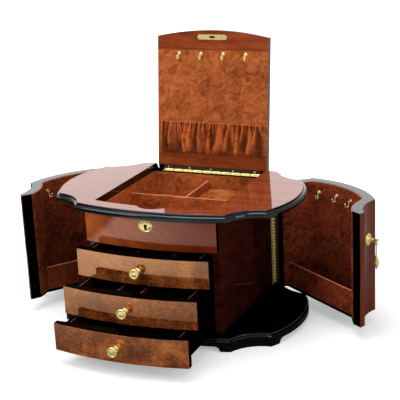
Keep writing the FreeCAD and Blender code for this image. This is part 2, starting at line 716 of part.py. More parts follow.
def face_sheet(name, z):
    """Veneer over the curved front of the fascia or of a drawer."""
    outer_plan = arched(name + "_outer_plan", FRONT_HALF, -s.case_front, s.face_inset)
    inner_plan = arched(name + "_inner_plan", FRONT_HALF, s.case_front, SHELL_INSET)
    return cut(name + "_sheet", prism(name + "_outer", outer_plan, z), prism(name + "_inner", inner_plan, z))


fascia_sheet = face_sheet("fascia_veneer", (FASCIA_Z, RIM))
node(cut("fascia_skin", fascia_sheet, keyhole("veneer_keyhole")), "fascia_veneer")

# Lock behind the fascia: case with the bolt's slot, bolt, oval escutcheon
BOLT_FOOT = LEDGE_Z - s.lock_tall + s.bolt_seat
lock_body = box(
    "lock_body", (-s.lock_half, s.lock_half), (-s.case_front, LEDGE_REAR), (LEDGE_Z - s.lock_tall, LEDGE_Z)
)
lock_slot = box(
    "lock_slot", (-s.bolt_half - s.bolt_gap, s.bolt_half + s.bolt_gap),
    (BOLT_Y - s.bolt_thick / 2 - s.bolt_gap, BOLT_Y + s.bolt_thick / 2 + s.bolt_gap),
    (BOLT_FOOT - s.bolt_gap, RIM),
)
key_well = rod("key_well", s.keyhole_radius, s.case_front + BOLT_Y, "Y", y=-s.case_front, z=KEYHOLE_Z)
node(cut("lock", lock_body, lock_slot, key_well), "lock_case")
bolt_raw = box(
    "bolt_raw", (-s.bolt_half, s.bolt_half), (BOLT_Y - s.bolt_thick / 2, BOLT_Y + s.bolt_thick / 2),
    (BOLT_FOOT, TRAY_TOP - s.front_gap),
)
node(rounded("bolt", bolt_raw, s.bolt_round, level(TRAY_TOP - s.front_gap)), "lock_bolt")
oval = add("Part::Ellipse", "oval", MajorRadius=s.escutcheon_half, MinorRadius=s.escutcheon_rise)
oval.Placement = FreeCAD.Placement(V(0, 0, 0), PLANES["XZ"])
at(oval, 0, FACE_Y, KEYHOLE_Z)
oval_plate = prism("oval_plate", oval, (0, s.escutcheon_thick), (0, -1, 0))
node(cut("oval_pierced", oval_plate, keyhole("oval_keyhole")), "escutcheon")

# Top: moulded rim and its veneered field, open over the tray, with a finger notch at the front
OPENING_HALF = LID_HALF + s.rim_gap
OPENING_INSET = s.lid_inset - s.rim_gap
NOTCH_R = (s.notch_half ** 2 + s.notch_deep ** 2) / (2 * s.notch_deep)
NOTCH_Y = bow_y(size(0), OPENING_INSET) - s.notch_deep + NOTCH_R


def opening(name, z):
    hole = prism(name + "_hole", arched(name + "_plan", OPENING_HALF, FAR, OPENING_INSET), z)
    return fuse(name, hole, rod(name + "_notch", NOTCH_R, size(z[1]) - z[0], y=NOTCH_Y, z=z[0]))


FIELD_Z = RIM + s.top_plate_thick
under_round = [(s.plate_under_round, RIM), (0, RIM + s.plate_under_round)]
plate = moulding("plate_moulded", under_round + easing(0, FIELD_Z, s.plate_round, 3))
node(cut("plate_open", plate, opening("plate_opening", (RIM, FIELD_Z))), "top_plate")
field_slope = easing(s.top_veneer_inset, s.total_height, s.top_veneer_round, 1)
field = moulding("field", [(s.top_veneer_inset, FIELD_Z)] + field_slope)
node(cut("field_open", field, opening("field_opening", (FIELD_Z, s.total_height))), "top_veneer")

# Tray: lined box on the rebates, dividers, and padded rolls for rings in the right rear compartment
TRAY_HALF = TRAY_BAY - s.tray_gap
TRAY_IN = TRAY_HALF - s.tray_wall
TRAY_BED = TRAY_SEAT + s.tray_floor
tray_raw = box("tray_raw", (-TRAY_HALF, TRAY_HALF), (-TRAY_FRONT, TRAY_REAR), (TRAY_SEAT, TRAY_TOP))
tray_hollow = box(
    "tray_hollow", (-TRAY_IN, TRAY_IN), (s.tray_wall - TRAY_FRONT, TRAY_REAR - s.tray_wall), (TRAY_BED, RIM)
)
node(cut("tray", tray_raw, tray_hollow), "tray_liner")
GRID_TOP = TRAY_TOP - s.grid_drop
long_wall = box(
    "long_wall", (-TRAY_IN, TRAY_IN),
    (s.long_divider_y - s.grid_thick / 2, s.long_divider_y + s.grid_thick / 2), (TRAY_BED, GRID_TOP),
)
cross_wall = box(
    "cross_wall", (s.cross_divider_x - s.grid_thick / 2, s.cross_divider_x + s.grid_thick / 2),
    (s.long_divider_y, TRAY_REAR - s.tray_wall), (TRAY_BED, GRID_TOP),
)
grid = fuse("grid", long_wall, cross_wall)
node(rounded("grid_eased", grid, s.front_round, level(GRID_TOP)), "tray_dividers")

PAD_X = (s.cross_divider_x + s.grid_thick / 2 + s.pad_gap, TRAY_IN - s.pad_gap)
PAD_Y = (s.long_divider_y + s.grid_thick / 2 + s.pad_gap, TRAY_REAR - s.tray_wall - s.pad_gap)
ROLL = (PAD_Y[1] - PAD_Y[0]) / RING_ROLLS
BEND = (ROLL ** 2 / 4 + s.roll_groove ** 2) / (2 * s.roll_groove)
GROOVE_Z = TRAY_BED + s.roll_crown - s.roll_groove
crowns = [(PAD_Y[1] - ROLL * roll, GROOVE_Z, BEND) for roll in range(RING_ROLLS)]
pad_corners = [(PAD_Y[0], TRAY_BED), (PAD_Y[1], TRAY_BED)] + crowns + [(PAD_Y[0], GROOVE_Z)]
pad_outline = profile("pad_outline", pad_corners, "YZ", PAD_X[0])
node(prism("pad", pad_outline, (0, PAD_X[1] - PAD_X[0]), (1, 0, 0)), "ring_roll_pad")

# Hook, drawn once at the origin: square plate on a wall at x = 0, bent strip that opens upwards
SHANK_X = s.hook_stem + s.hook_bend
THROAT_X = SHANK_X + s.hook_throat
TIP_X = THROAT_X + s.hook_throat
TIP_Z = s.hook_tip - s.hook_drop
WIRE = s.hook_wire
OUTER_BEND = s.hook_throat + WIRE
INNER_BEND = s.hook_throat - WIRE
hook_outline = profile("hook_outline", [
    (0, -WIRE), (s.hook_stem, -WIRE), (SHANK_X - WIRE, -s.hook_bend),
    (SHANK_X - WIRE, -s.hook_drop, OUTER_BEND), (THROAT_X, -s.hook_drop - OUTER_BEND, OUTER_BEND),
    (TIP_X + WIRE, -s.hook_drop), (TIP_X + WIRE, TIP_Z), (TIP_X, TIP_Z + s.hook_point), (TIP_X - WIRE, TIP_Z),
    (TIP_X - WIRE, -s.hook_drop, -INNER_BEND), (THROAT_X, -s.hook_drop - INNER_BEND, -INNER_BEND),
    (SHANK_X + WIRE, -s.hook_drop), (SHANK_X + WIRE, -s.hook_bend), (s.hook_stem, WIRE), (0, WIRE),
], "XZ", WIRE)
hook_strip = prism("hook_strip", hook_outline, (0, 2 * WIRE), (0, -1, 0))
hook_plate = box(
    "hook_plate", (0, s.hook_plate_thick), (-s.hook_plate, s.hook_plate), (-s.hook_plate, s.hook_plate)
)
hook = fuse("hook", hook_plate, hook_strip)


def hook_at(name, rotation, x, y, z):
    link = doc.addObject("App::Link", name)
    link.LinkedObject = hook
    link.Placement = FreeCAD.Placement(V(0, 0, 0), rotation)
    return at(link, x, y, z)


# Lid, drawn closed and then turned open about its hinge
LID_Z = RIM + s.lid_gap
BOARD_Z = LID_Z + s.lid_lining_thick
LID_VENEER_Z = s.total_height - s.lid_veneer_thick
LID_AXIS = (0, LID_HINGE_Y, RIM + s.lid_gap / 2)
LID_REAR = LID_HINGE_Y - s.lid_knuckle - s.tray_gap


def from_hinge(distance):
    return LID_HINGE_Y - distance


def lid_piece(obj, label):
    return swing(node(obj, label), "X", -s.lid_open, LID_AXIS)


def lid_slab(name, z, rear, clear=0):
    return prism(name, arched(name + "_plan", LID_HALF - clear, rear, s.lid_inset + clear), z)


STRIKE_Y = (BOLT_Y - s.strike_wide / 2, BOLT_Y + s.strike_wide / 2)
bolt_pocket = box(
    "bolt_pocket", (-s.bolt_half - s.bolt_pocket_gap, s.bolt_half + s.bolt_pocket_gap),
    (BOLT_Y - s.bolt_thick / 2 - s.bolt_pocket_gap, BOLT_Y + s.bolt_thick / 2 + s.bolt_pocket_gap),
    (LID_Z, RIM + s.bolt_travel + s.bolt_pocket_gap),
)
board_slab = lid_slab("board_slab", (BOARD_Z, LID_VENEER_Z), LID_REAR)
board = rounded("board_raw", board_slab, s.front_round, upright)
lid_piece(cut("board", board, bolt_pocket), "lid_board")
skin = lid_slab("skin_slab", (LID_VENEER_Z, s.total_height), LID_REAR)
lid_piece(rounded("skin", skin, s.front_round, upright), "lid_veneer")
front_rail = cut(
    "front_rail_raw", lid_slab("front_rail_slab", (LID_Z, BOARD_Z), from_hinge(s.panel_end)),
    box("strike_seat", (-s.strike_half, s.strike_half), STRIKE_Y, (LID_Z, BOARD_Z)),
)
lid_piece(front_rail, "lid_rail_front")
rear_rail = box(
    "rear_rail_raw", (-LID_HALF, LID_HALF), (from_hinge(s.rear_rail), LEAF_FRONT - s.tray_gap),
    (LID_Z, BOARD_Z),
)
lid_piece(rounded("rear_rail", rear_rail, s.front_round, upright), "lid_rail_rear")
lining = box(
    "lid_lining_raw", (-LID_HALF, LID_HALF), (from_hinge(s.panel_end), from_hinge(s.rear_rail)),
    (LID_Z, BOARD_Z),
)
lid_piece(rounded("lid_lining", lining, s.lining_round, upright), "lid_lining")

# Gathered pocket across the lid: a cloth front that swells below its mouth and falls in folds
pocket_sections = []
for i, (distance, depth, narrow) in enumerate((
    (s.rear_rail + s.pocket_gap, s.pocket_seam, s.pocket_gap),
    (s.rear_rail + s.pocket_foot_at, s.pocket_foot, size(0)),
    (s.pocket_end - s.pocket_bulge_at, s.pocket_bulge, size(0)),
    (s.pocket_end, s.pocket_mouth, s.pocket_gap),
)):
    half = POCKET_HALF - narrow
    points = []
    for fold in range(POCKET_FOLDS + 1):
        swell = POCKET_TAUT + (1 - POCKET_TAUT) * math.sqrt(abs(math.sin(math.pi * fold / POCKET_FOLDS)))
        points.append((half * (2 * fold / POCKET_FOLDS - 1), LID_Z - (depth - s.pocket_fold) * swell))
    outline = [(half, LID_Z), (-half, LID_Z)]
    for fold in range(POCKET_FOLDS):
        (x0, z0), (x1, z1) = points[fold], points[fold + 1]
        chord = (x1 - x0) ** 2 + (z1 - z0) ** 2
        outline.append((x0, z0, (chord / 4 + s.pocket_fold ** 2) / (2 * s.pocket_fold)))
    outline.append(points[-1])
    pocket_sections.append(profile(f"pocket_section{i}", outline, "XZ", from_hinge(distance)))
lid_piece(lofted("pocket", pocket_sections, True), "lid_pocket")

HOOK_DOWN = FreeCAD.Rotation(V(0, 0, -1), V(1, 0, 0), V(0, -1, 0))
lid_hooks = []
for i in range(LID_HOOKS):
    x = s.lid_hook_pitch * (i - (LID_HOOKS - 1) / 2)
    lid_hooks.append(hook_at(f"lid_hook{i}", HOOK_DOWN, x, from_hinge(s.lid_hooks_at), LID_Z))
lid_piece(fuse("lid_hook_row", *lid_hooks), "lid_hooks")
strike = box("strike_raw", (-s.strike_half, s.strike_half), STRIKE_Y, (LID_Z, LID_Z + s.strike_thick))
slot = box(
    "strike_slot", (-s.bolt_half - s.strike_slot_gap, s.bolt_half + s.strike_slot_gap),
    (BOLT_Y - s.bolt_thick / 2 - s.strike_slot_gap, BOLT_Y + s.bolt_thick / 2 + s.strike_slot_gap),
    (LID_Z, BOARD_Z),
)
strike_ends = rounded("strike_ends", strike, s.strike_round, upright)
lid_piece(cut("strike", strike_ends, slot), "strike_plate")


# Piano hinges: knuckles by turns on the two leaves, the pin fast in the fixed leaf
def lid_leaf(name, fixed):
    """Leaf of the lid hinge with every other knuckle."""
    centre_z = size(LID_AXIS[2])
    if fixed:
        z = (TRAY_TOP - s.leaf_thick, TRAY_TOP)
    else:
        z = (LID_Z + s.lid_gap, LID_Z + s.lid_gap + s.leaf_thick)
    pitch = 2 * HINGE_HALF / LID_KNUCKLES
    pieces = [box(name + "_leaf", (-HINGE_HALF, HINGE_HALF), (LEAF_FRONT, LID_REAR), z)]
    for i in range(0 if fixed else 1, LID_KNUCKLES, 2):
        x0 = pitch * i - HINGE_HALF + s.knuckle_gap / 2
        length = pitch - s.knuckle_gap
        pieces.append(rod(f"{name}_knuckle{i}", s.lid_knuckle, length, "X", x=x0, y=LID_HINGE_Y, z=centre_z))
        pieces.append(box(f"{name}_web{i}", (x0, x0 + length), (LID_REAR, LID_HINGE_Y), z))
    body = fuse(name + "_body", *pieces)
    bore = s.pin_radius + s.pin_gap
    hole = rod(name + "_bore", bore, 2 * HINGE_HALF, "X", x=-HINGE_HALF, y=LID_HINGE_Y, z=centre_z)
    if not fixed:
        return cut(name, body, hole)
    pin = rod(name + "_pin", s.pin_radius, 2 * HINGE_HALF - s.knuckle_gap, "X",
              x=s.knuckle_gap / 2 - HINGE_HALF, y=LID_HINGE_Y, z=centre_z)
    return fuse(name, body, pin)


node(lid_leaf("lid_fixed", True), "lid_hinge_leaf_fixed")
lid_piece(lid_leaf("lid_moving", False), "lid_hinge_leaf_moving")


def door_leaf(name, k, fixed):
    """Leaf of a door hinge, in the closed place; k is 1 at the right and -1 at the left."""
    axis_x = k * DOOR_HINGE_X
    if fixed:
        x = (k * STILE_X, k * (STILE_X + s.door_leaf))
    else:
        x = (k * (DOOR_END_X - s.door_leaf), k * DOOR_END_X)
    z0 = DOOR_Z + s.knuckle_gap
    tall = DOOR_TOP - s.knuckle_gap - z0
    pitch = tall / DOOR_KNUCKLES
    y_leaf = s.door_hinge_y - s.door_knuckle - s.knuckle_gap
    pieces = [box(name + "_leaf", x, (s.door_hinge_y - s.door_leaf_deep, y_leaf), (z0, z0 + tall))]
    for i in range(0 if fixed else 1, DOOR_KNUCKLES, 2):
        low = z0 + pitch * i + s.knuckle_gap / 2
        length = pitch - s.knuckle_gap
        pieces.append(rod(f"{name}_knuckle{i}", s.door_knuckle, length, x=axis_x, y=s.door_hinge_y, z=low))
        pieces.append(box(f"{name}_web{i}", x, (y_leaf, s.door_hinge_y), (low, low + length)))
    body = fuse(name + "_body", *pieces)
    if not fixed:
        bore = s.door_pin + s.pin_gap
        return cut(name, body, rod(name + "_bore", bore, tall, x=axis_x, y=s.door_hinge_y, z=z0))
    pin = rod(name + "_pin", s.door_pin, tall - s.knuckle_gap,
              x=axis_x, y=s.door_hinge_y, z=z0 + s.knuckle_gap / 2)
    return fuse(name, body, pin)


# Drawers, drawn closed on the floor and then lifted to their place and pulled out
BOX_IN = BOX_HALF - s.box_wall
BOX_REAR_IN = BOX_REAR - s.box_wall
LINING_Z = s.box_lift + s.box_floor
LINING_TOP = s.box_lift + BOX_TALL - s.lining_drop
KNOB_Z = FRONT_TALL / 2


def knob(name):
    """Dished knob on a collared neck, its stem through the front to a screw head in a recess."""
    reach = FACE_Y - s.knob_reach
    inside = -s.case_front
    recess = inside - s.screw_deep + s.stem_gap * 2
    return turned_solid(name, profile(name + "_profile", [
        (0, inside), (0, reach + s.knob_dish), (s.knob_dish_radius, reach + s.knob_dish),
        (s.knob_dish_radius, reach), (s.knob_radius, reach), (s.knob_radius, reach + s.knob_rim),
        (s.knob_neck, reach + s.knob_head),
        (s.knob_neck, FACE_Y - s.knob_collar_thick), (s.knob_collar, FACE_Y - s.knob_collar_thick),
        (s.knob_collar, FACE_Y - s.stem_gap), (s.stem_radius, FACE_Y - s.stem_gap), (s.stem_radius, recess),
        (s.screw_radius, recess), (s.screw_radius, inside),
    ]), "Y")


def drawer_piece(obj, label, z, out):
    return at(node(obj, label), 0, -out, z)


for word, z, out, dividers in (
    ("bottom", FRONT_Z[0], s.bottom_out, ()),
    ("middle", FRONT_Z[1], s.middle_out, (-s.middle_divider_left, s.middle_divider_right)),
    ("top", FRONT_Z[2], s.top_out, (-s.top_divider_left, s.top_divider_right)),
):
    name = f"drawer_{word}"
    outer = box(name + "_outer", (-BOX_HALF, BOX_HALF), (-s.case_front, BOX_REAR),
                (s.box_lift, s.box_lift + BOX_TALL))
    inner = box(name + "_inner", (-BOX_IN, BOX_IN), (-FAR, BOX_REAR_IN), (LINING_Z, FAR))
    drawer_piece(cut(name + "_hollow", outer, inner), name + "_box", z, out)

    front_plan = arched(name + "_plan", FRONT_HALF, -s.case_front, SHELL_INSET)
    raw = prism(name + "_raw", front_plan, (0, FRONT_TALL))
    stem_bore = s.stem_radius + s.stem_gap
    stem_hole = rod(name + "_stem_hole", stem_bore, FAR - s.case_front, "Y", y=-FAR, z=KNOB_Z)
    recess = rod(name + "_recess", s.screw_radius + s.stem_gap, s.screw_deep, "Y",
                 y=-s.case_front - s.screw_deep, z=KNOB_Z)
    drawer_piece(cut(name + "_board", raw, stem_hole, recess), name + "_front", z, out)

    sheet_hole = rod(name + "_sheet_hole", stem_bore, FAR - s.case_front, "Y", y=-FAR, z=KNOB_Z)
    drawer_piece(cut(name + "_skin", face_sheet(name, (0, FRONT_TALL)), sheet_hole), name + "_veneer", z, out)

    lined = box(name + "_lined", (-BOX_IN, BOX_IN), (-s.case_front, BOX_REAR_IN), (LINING_Z, LINING_TOP))
    well = box(
        name + "_well", (s.lining_wall - BOX_IN, BOX_IN - s.lining_wall),
        (s.lining_wall - s.case_front, BOX_REAR_IN - s.lining_wall), (LINING_Z + s.lining_floor, FAR),
    )
    lining = cut(name + "_lining_raw", lined, well)
    if dividers:
        walls = [
            box(f"{name}_divider{i}", (x - s.divider / 2, x + s.divider / 2),
                (s.lining_wall - s.case_front, BOX_REAR_IN - s.lining_wall),
                (LINING_Z + s.lining_floor, LINING_TOP - s.divider_drop))
            for i, x in enumerate(dividers)
        ]
        lining = fuse(name + "_lining_divided", lining, *walls)
    drawer_piece(lining, name + "_lining", z, out)
    drawer_piece(knob(name + "_turned"), name + "_knob", z + KNOB_Z, out)

# Doors: bowed shells that follow the plan from the drawer fronts round to the hinge
DOOR_FRONT_X = FRONT_HALF + s.door_end_gap
DOOR_BED = DOOR_Z + s.door_floor
LINING_INNER = DOOR_INNER + s.door_lining
HOOK_R = BULGE_R - LINING_INNER - s.hook_seat
PULL_TURN = atan(NORMAL_Y / NORMAL_X) + s.pull_aside
PULL_R = sqrt((OGEE_R + s.face_inset) ** 2 - s.rosette_radius ** 2) - s.hook_seat
PULL_X = OGEE_CX - cos(PULL_TURN) * PULL_R
PULL_Y = OGEE_CY - sin(PULL_TURN) * PULL_R


def core(name, inset, radius):
    """Solid within the plan moved inwards by inset, rounded where a bulge meets a hollow."""
    return rounded(name, prism(name + "_raw", plan(inset), (DOOR_Z, DOOR_TOP)), radius, beside_bulge(inset))


def wall(name, k, outer, inner, z=(DOOR_Z, DOOR_TOP)):
    """What lies between two solids at one side of the box, from the drawer fronts to the hinge."""
    front = box(name + "_front", (k * DOOR_FRONT_X, k * FAR), (-FAR, 0), z)
    rear = box(name + "_rear", (k * DOOR_END_X, k * FAR), (0, FAR), z)
    return common(name, cut(name + "_ring", outer, inner), fuse(name + "_side", front, rear))


def pull_mount(name):
    """Rosette with a raised ring, post and fork with the pendant's pivot; +X points away from the door."""
    post_end = s.pull_reach - s.eye_radius
    turned = turned_solid(name + "_turned", profile(name + "_profile", [
        (0, 0), (post_end, 0), (post_end, s.post_radius), (s.rosette_thick + s.boss_tall, s.post_radius),
        (s.rosette_thick + s.boss_tall, s.boss_radius), (s.rosette_thick, s.boss_radius),
        (s.rosette_thick, s.rosette_radius), (0, s.rosette_radius),
    ]), "X")
    cheek = s.fork_half - s.eye_half - s.eye_gap
    fork_foot = post_end - s.eye_gap
    arms = []
    for k in (-1, 1):
        sides = (k * s.fork_half, k * (s.fork_half - cheek))
        y0, thick = span(sides)
        arms.append(rod(f"{name}_arm{k}", s.eye_radius, thick, "Y", x=s.pull_reach, y=y0))
        cheek_z = (-s.post_radius, s.post_radius)
        arms.append(box(f"{name}_cheek{k}", (fork_foot, s.pull_reach), sides, cheek_z))
    bridge = box(
        name + "_bridge", (fork_foot - s.bridge_thick, fork_foot), (-s.fork_half, s.fork_half),
        (-s.post_radius, s.post_radius),
    )
    pivot = rod(name + "_pivot", s.pivot_radius, 2 * s.fork_half, "Y", x=s.pull_reach, y=-s.fork_half)
    return fuse(name, turned, bridge, *arms, pivot)


def pull_pendant(name):
    """Eye, bead, slender shank, swelling drop and finial; the pivot is at the origin."""
    eye = rod(name + "_eye", s.eye_radius, 2 * s.eye_half, "Y", y=-s.eye_half)
    hole = rod(name + "_hole", s.pivot_radius + s.pin_gap, 2 * s.eye_half, "Y", y=-s.eye_half)
    neck = s.pivot_radius + s.pendant_shank
    shank, bead, drop, finial = s.pendant_shank, s.bead_radius, s.drop_radius, s.finial_radius
    bead_to = s.bead_from + s.bead_tall
    turned = turned_solid(name + "_turned", profile(name + "_profile", [
        (0, -s.pendant_long), (finial, -s.pendant_long), (finial, -s.drop_to), (drop, -s.drop_at),
        (shank, -s.drop_from), (shank, -bead_to), (bead, -bead_to), (bead, -s.bead_from),
        (shank, -s.bead_from), (shank, -neck), (0, -neck),
    ], "XZ"), "Z")
    return cut(name, fuse(name + "_fused", eye, turned), hole)


face_core = prism("face_core", plan(s.face_inset), (DOOR_Z, DOOR_TOP))
shell_core = prism("shell_core", plan(SHELL_INSET), (DOOR_Z, DOOR_TOP))
lining_core = core("lining_core", DOOR_INNER, s.door_round)
hollow_core = core("hollow_core", LINING_INNER, s.door_round - s.door_lining)
for word, k, opened in (("left", -1, -s.left_open), ("right", 1, s.right_open)):
    name = f"door_{word}"
    axis = (k * DOOR_HINGE_X, s.door_hinge_y, 0)

    def door_piece(obj, label):
        return swing(node(obj, label), "Z", opened, axis)

    node(door_leaf(name + "_fixed_leaf", k, True), f"door_hinge_fixed_{word}")
    door_piece(door_leaf(name + "_moving_leaf", k, False), f"door_hinge_leaf_{word}")
    door_piece(wall(name + "_skin", k, face_core, shell_core), f"door_veneer_{word}")
    foot_side = box(name + "_foot_side", (k * POCKET_X, k * FAR), (-FAR, FAR), (DOOR_Z, DOOR_BED))
    foot = common(name + "_foot", lining_core, foot_side)
    shell = wall(name + "_wall", k, shell_core, lining_core)
    door_piece(fuse(name + "_body", shell, foot), f"door_shell_{word}")
    lining = wall(name + "_suede", k, lining_core, hollow_core, (DOOR_BED, DOOR_TOP - s.lining_drop))
    door_piece(lining, f"door_lining_{word}")
    pocket_side = box(
        name + "_pocket_side", (k * POCKET_X, k * (POCKET_X + s.pocket_thick)), (-FAR, FAR),
        (DOOR_BED, DOOR_Z + s.pocket_tall),
    )
    door_piece(common(name + "_pocket", hollow_core, pocket_side), f"door_pocket_panel_{word}")
    hooks = []
    for i in range(DOOR_HOOKS):
        angle = s.door_hook_pitch * (i - (DOOR_HOOKS - 1) / 2)
        x = k * (BULGE_C + HOOK_R * cos(angle))
        upright_axis = FreeCAD.Rotation(V(0, 0, 1), AXIS_ONLY)
        link = hook_at(f"{name}_hook{i}", upright_axis, x, HOOK_R * sin(angle), HOOK_Z)
        link.setExpression("Placement.Rotation.Angle", (k * angle + (180 if k > 0 else 0)).text)
        hooks.append(link)
    door_piece(fuse(name + "_hook_row", *hooks), f"door_hooks_{word}")
    spin = -PULL_TURN if k > 0 else PULL_TURN + 180
    seat = (k * PULL_X, -PULL_Y, PULL_Z)
    swing(node(pull_mount(name + "_pull"), f"door_pull_mount_{word}"), "Z", opened, axis, seat, spin)
    out_x, out_y = cos(PULL_TURN) * s.pull_reach, sin(PULL_TURN) * s.pull_reach
    pivot = (k * (PULL_X + out_x), -(PULL_Y + out_y), PULL_Z)
    swing(node(pull_pendant(name + "_drop"), f"door_pull_pendant_{word}"), "Z", opened, axis, pivot, spin)

# Hand out: every piece is checked and written as STEP
doc.recompute()
for obj in doc.Objects:
    failed = [state for state in obj.State if state in ("Invalid", "Error")]
    if failed:
        raise RuntimeError(f"{obj.Name} is {failed}")
for obj in NODES:
    if obj.Shape.isNull() or not obj.Shape.isValid():
        raise RuntimeError(f"{obj.Label} has no valid shape")
os.makedirs("parts", exist_ok=True)
for obj in NODES:
    obj.Shape.exportStep(f"parts/{obj.Label}.step")
    print(obj.Label, len(obj.Shape.Solids), round(obj.Shape.Volume), obj.Shape.BoundBox)
print(len(NODES), "pieces")
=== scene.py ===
"""Looks of a jewelry box with a lifting lid, three bowed drawers and two swinging side doors.

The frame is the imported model's, in metres: +Z is up and the drawers face -Y. Sizes and places of single
pieces are named in millimetres and multiplied by MM where they are used.
"""
import json
import math
import bpy
from mathutils import Matrix, Vector

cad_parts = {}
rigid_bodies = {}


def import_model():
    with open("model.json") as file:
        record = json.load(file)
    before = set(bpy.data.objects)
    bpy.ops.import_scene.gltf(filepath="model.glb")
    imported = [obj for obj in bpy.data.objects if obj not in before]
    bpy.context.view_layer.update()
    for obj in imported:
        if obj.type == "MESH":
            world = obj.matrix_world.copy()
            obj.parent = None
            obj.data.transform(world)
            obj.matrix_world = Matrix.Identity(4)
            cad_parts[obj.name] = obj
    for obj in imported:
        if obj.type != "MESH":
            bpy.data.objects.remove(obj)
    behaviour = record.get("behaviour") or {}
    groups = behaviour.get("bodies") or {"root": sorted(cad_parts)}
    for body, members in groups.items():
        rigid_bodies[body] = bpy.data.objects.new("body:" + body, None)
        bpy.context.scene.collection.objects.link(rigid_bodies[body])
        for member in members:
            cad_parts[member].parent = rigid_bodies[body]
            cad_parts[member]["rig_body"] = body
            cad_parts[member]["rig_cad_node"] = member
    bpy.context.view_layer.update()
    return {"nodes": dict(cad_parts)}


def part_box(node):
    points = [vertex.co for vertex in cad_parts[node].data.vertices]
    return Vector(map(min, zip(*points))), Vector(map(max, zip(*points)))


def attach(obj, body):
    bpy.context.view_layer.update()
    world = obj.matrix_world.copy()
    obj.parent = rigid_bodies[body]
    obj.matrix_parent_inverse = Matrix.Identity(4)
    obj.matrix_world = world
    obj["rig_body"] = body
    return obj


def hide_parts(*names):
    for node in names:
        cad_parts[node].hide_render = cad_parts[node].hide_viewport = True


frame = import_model()
NODES = frame["nodes"]
MM = 0.001
SIDES = ((1, "right"), (-1, "left"))
DRAWERS = ("bottom", "middle", "top")

# Camera, where the photographer stood
camera_data = bpy.data.cameras.new("camera")
camera = bpy.data.objects.new("camera", camera_data)
bpy.context.scene.collection.objects.link(camera)
bpy.context.scene.camera = camera
camera_data.sensor_width = 36
camera_data.lens = 97.77
camera_data.shift_x = -0.0032
camera_data.shift_y = -0.0017
camera_data.clip_end = 30
CAMERA_AT = (0.74575, -1.60489, 0.74965)
RIGHT = Vector((0.91947, 0.39053, -0.04542))
UP = Vector((-0.07510, 0.28785, 0.95473))
AHEAD = Vector((-0.38593, 0.87443, -0.29399))
camera_turn = Matrix((RIGHT, UP, -AHEAD)).transposed().to_4x4()
camera.matrix_world = Matrix.Translation(CAMERA_AT) @ camera_turn


# Colours and node materials
def paint(red, green, blue):
    """Linear colour of a paint chip given in 0 to 255."""
    def linear(value):
        value /= 255
        return value / 12.92 if value <= 0.04045 else ((value + 0.055) / 1.055) ** 2.4
    return (linear(red), linear(green), linear(blue), 1)


def gray(value):
    return (value, value, value, 1)


def ranged(tree, value, start, end, low=0, high=1, shape="LINEAR"):
    """Value between start and end, moved to the range low to high."""
    made = tree.nodes.new("ShaderNodeMapRange")
    made.interpolation_type = shape
    for key, number in (("From Min", start), ("From Max", end), ("To Min", low), ("To Max", high)):
        made.inputs[key].default_value = number
    tree.links.new(value, made.inputs["Value"])
    return made.outputs["Result"]


class Finish:
    """Node material; its pattern is read in metres from the piece's own coordinates."""

    def __init__(self, name, tint=None, **settings):
        self.material = bpy.data.materials.new(name)
        self.material.use_nodes = True
        self.tree = self.material.node_tree
        self.tree.nodes.clear()
        self.shader = self.tree.nodes.new("ShaderNodeBsdfPrincipled")
        surface = self.tree.nodes.new("ShaderNodeOutputMaterial")
        self.tree.links.new(self.shader.outputs[0], surface.inputs["Surface"])
        for key, value in settings.items():
            self.shader.inputs[key.replace("_", " ")].default_value = value
        if tint:
            self.shader.inputs["Specular Tint"].default_value = tint
        self.place = self.tree.nodes.new("ShaderNodeTexCoord").outputs["Object"]

    def node(self, kind, inputs, **settings):
        made = self.tree.nodes.new(kind)
        for key, value in settings.items():
            setattr(made, key, value)
        for key, value in inputs.items():
            if isinstance(value, bpy.types.NodeSocket):
                self.tree.links.new(value, made.inputs[key])
            else:
                made.inputs[key].default_value = value
        return made

    def shifted(self, shift):
        """The piece's coordinates, moved so that another part of the pattern shows."""
        return self.node("ShaderNodeMapping", {"Vector": self.place, "Location": shift}).outputs[0]

    def laid(self, turn=(0, 0, 0), stretch=(1, 1, 1), place=None):
        """The pattern's coordinates, turned by degrees and then drawn out."""
        angles = [math.radians(degrees) for degrees in turn]
        turned = self.node("ShaderNodeMapping", {"Vector": place or self.place, "Rotation": angles})
        return self.node("ShaderNodeMapping", {"Vector": turned.outputs[0], "Scale": stretch}).outputs[0]

    def noise(self, place, scale, detail=3, rough=0.5, twist=0):
        return self.node("ShaderNodeTexNoise", {
            "Vector": place, "Scale": scale, "Detail": detail, "Roughness": rough, "Distortion": twist,
        }).outputs["Fac"]

    def ramp(self, value, *stops):
        """Colours at places between 0 and 1."""
        made = self.node("ShaderNodeValToRGB", {"Fac": value})
        band = made.color_ramp
        while len(band.elements) < len(stops):
            band.elements.new(0.5)
        for element, (place, colour) in zip(band.elements, stops):
            element.position = place
            element.color = colour if len(colour) == 4 else (*colour, 1)
        return made.outputs["Color"]

    def mix(self, share, first, second, way="MIX"):
        made = self.node("ShaderNodeMix", {}, data_type="RGBA", blend_type=way)
        for key, value in (("Factor_Float", share), ("A_Color", first), ("B_Color", second)):
            socket = next(s for s in made.inputs if s.identifier == key)
            if isinstance(value, bpy.types.NodeSocket):
                self.tree.links.new(value, socket)
            else:
                socket.default_value = value
        return next(s for s in made.outputs if s.identifier == "Result_Color")

    def times(self, first, second):
        return self.mix(1.0, first, second, "MULTIPLY")

    def bump(self, height, strength, depth):
        made = self.node("ShaderNodeBump", {"Height": height, "Strength": strength, "Distance": depth})
        self.tree.links.new(made.outputs[0], self.shader.inputs["Normal"])

    def feed(self, **sockets):
        for key, value in sockets.items():
            self.tree.links.new(value, self.shader.inputs[key.replace("_", " ")])


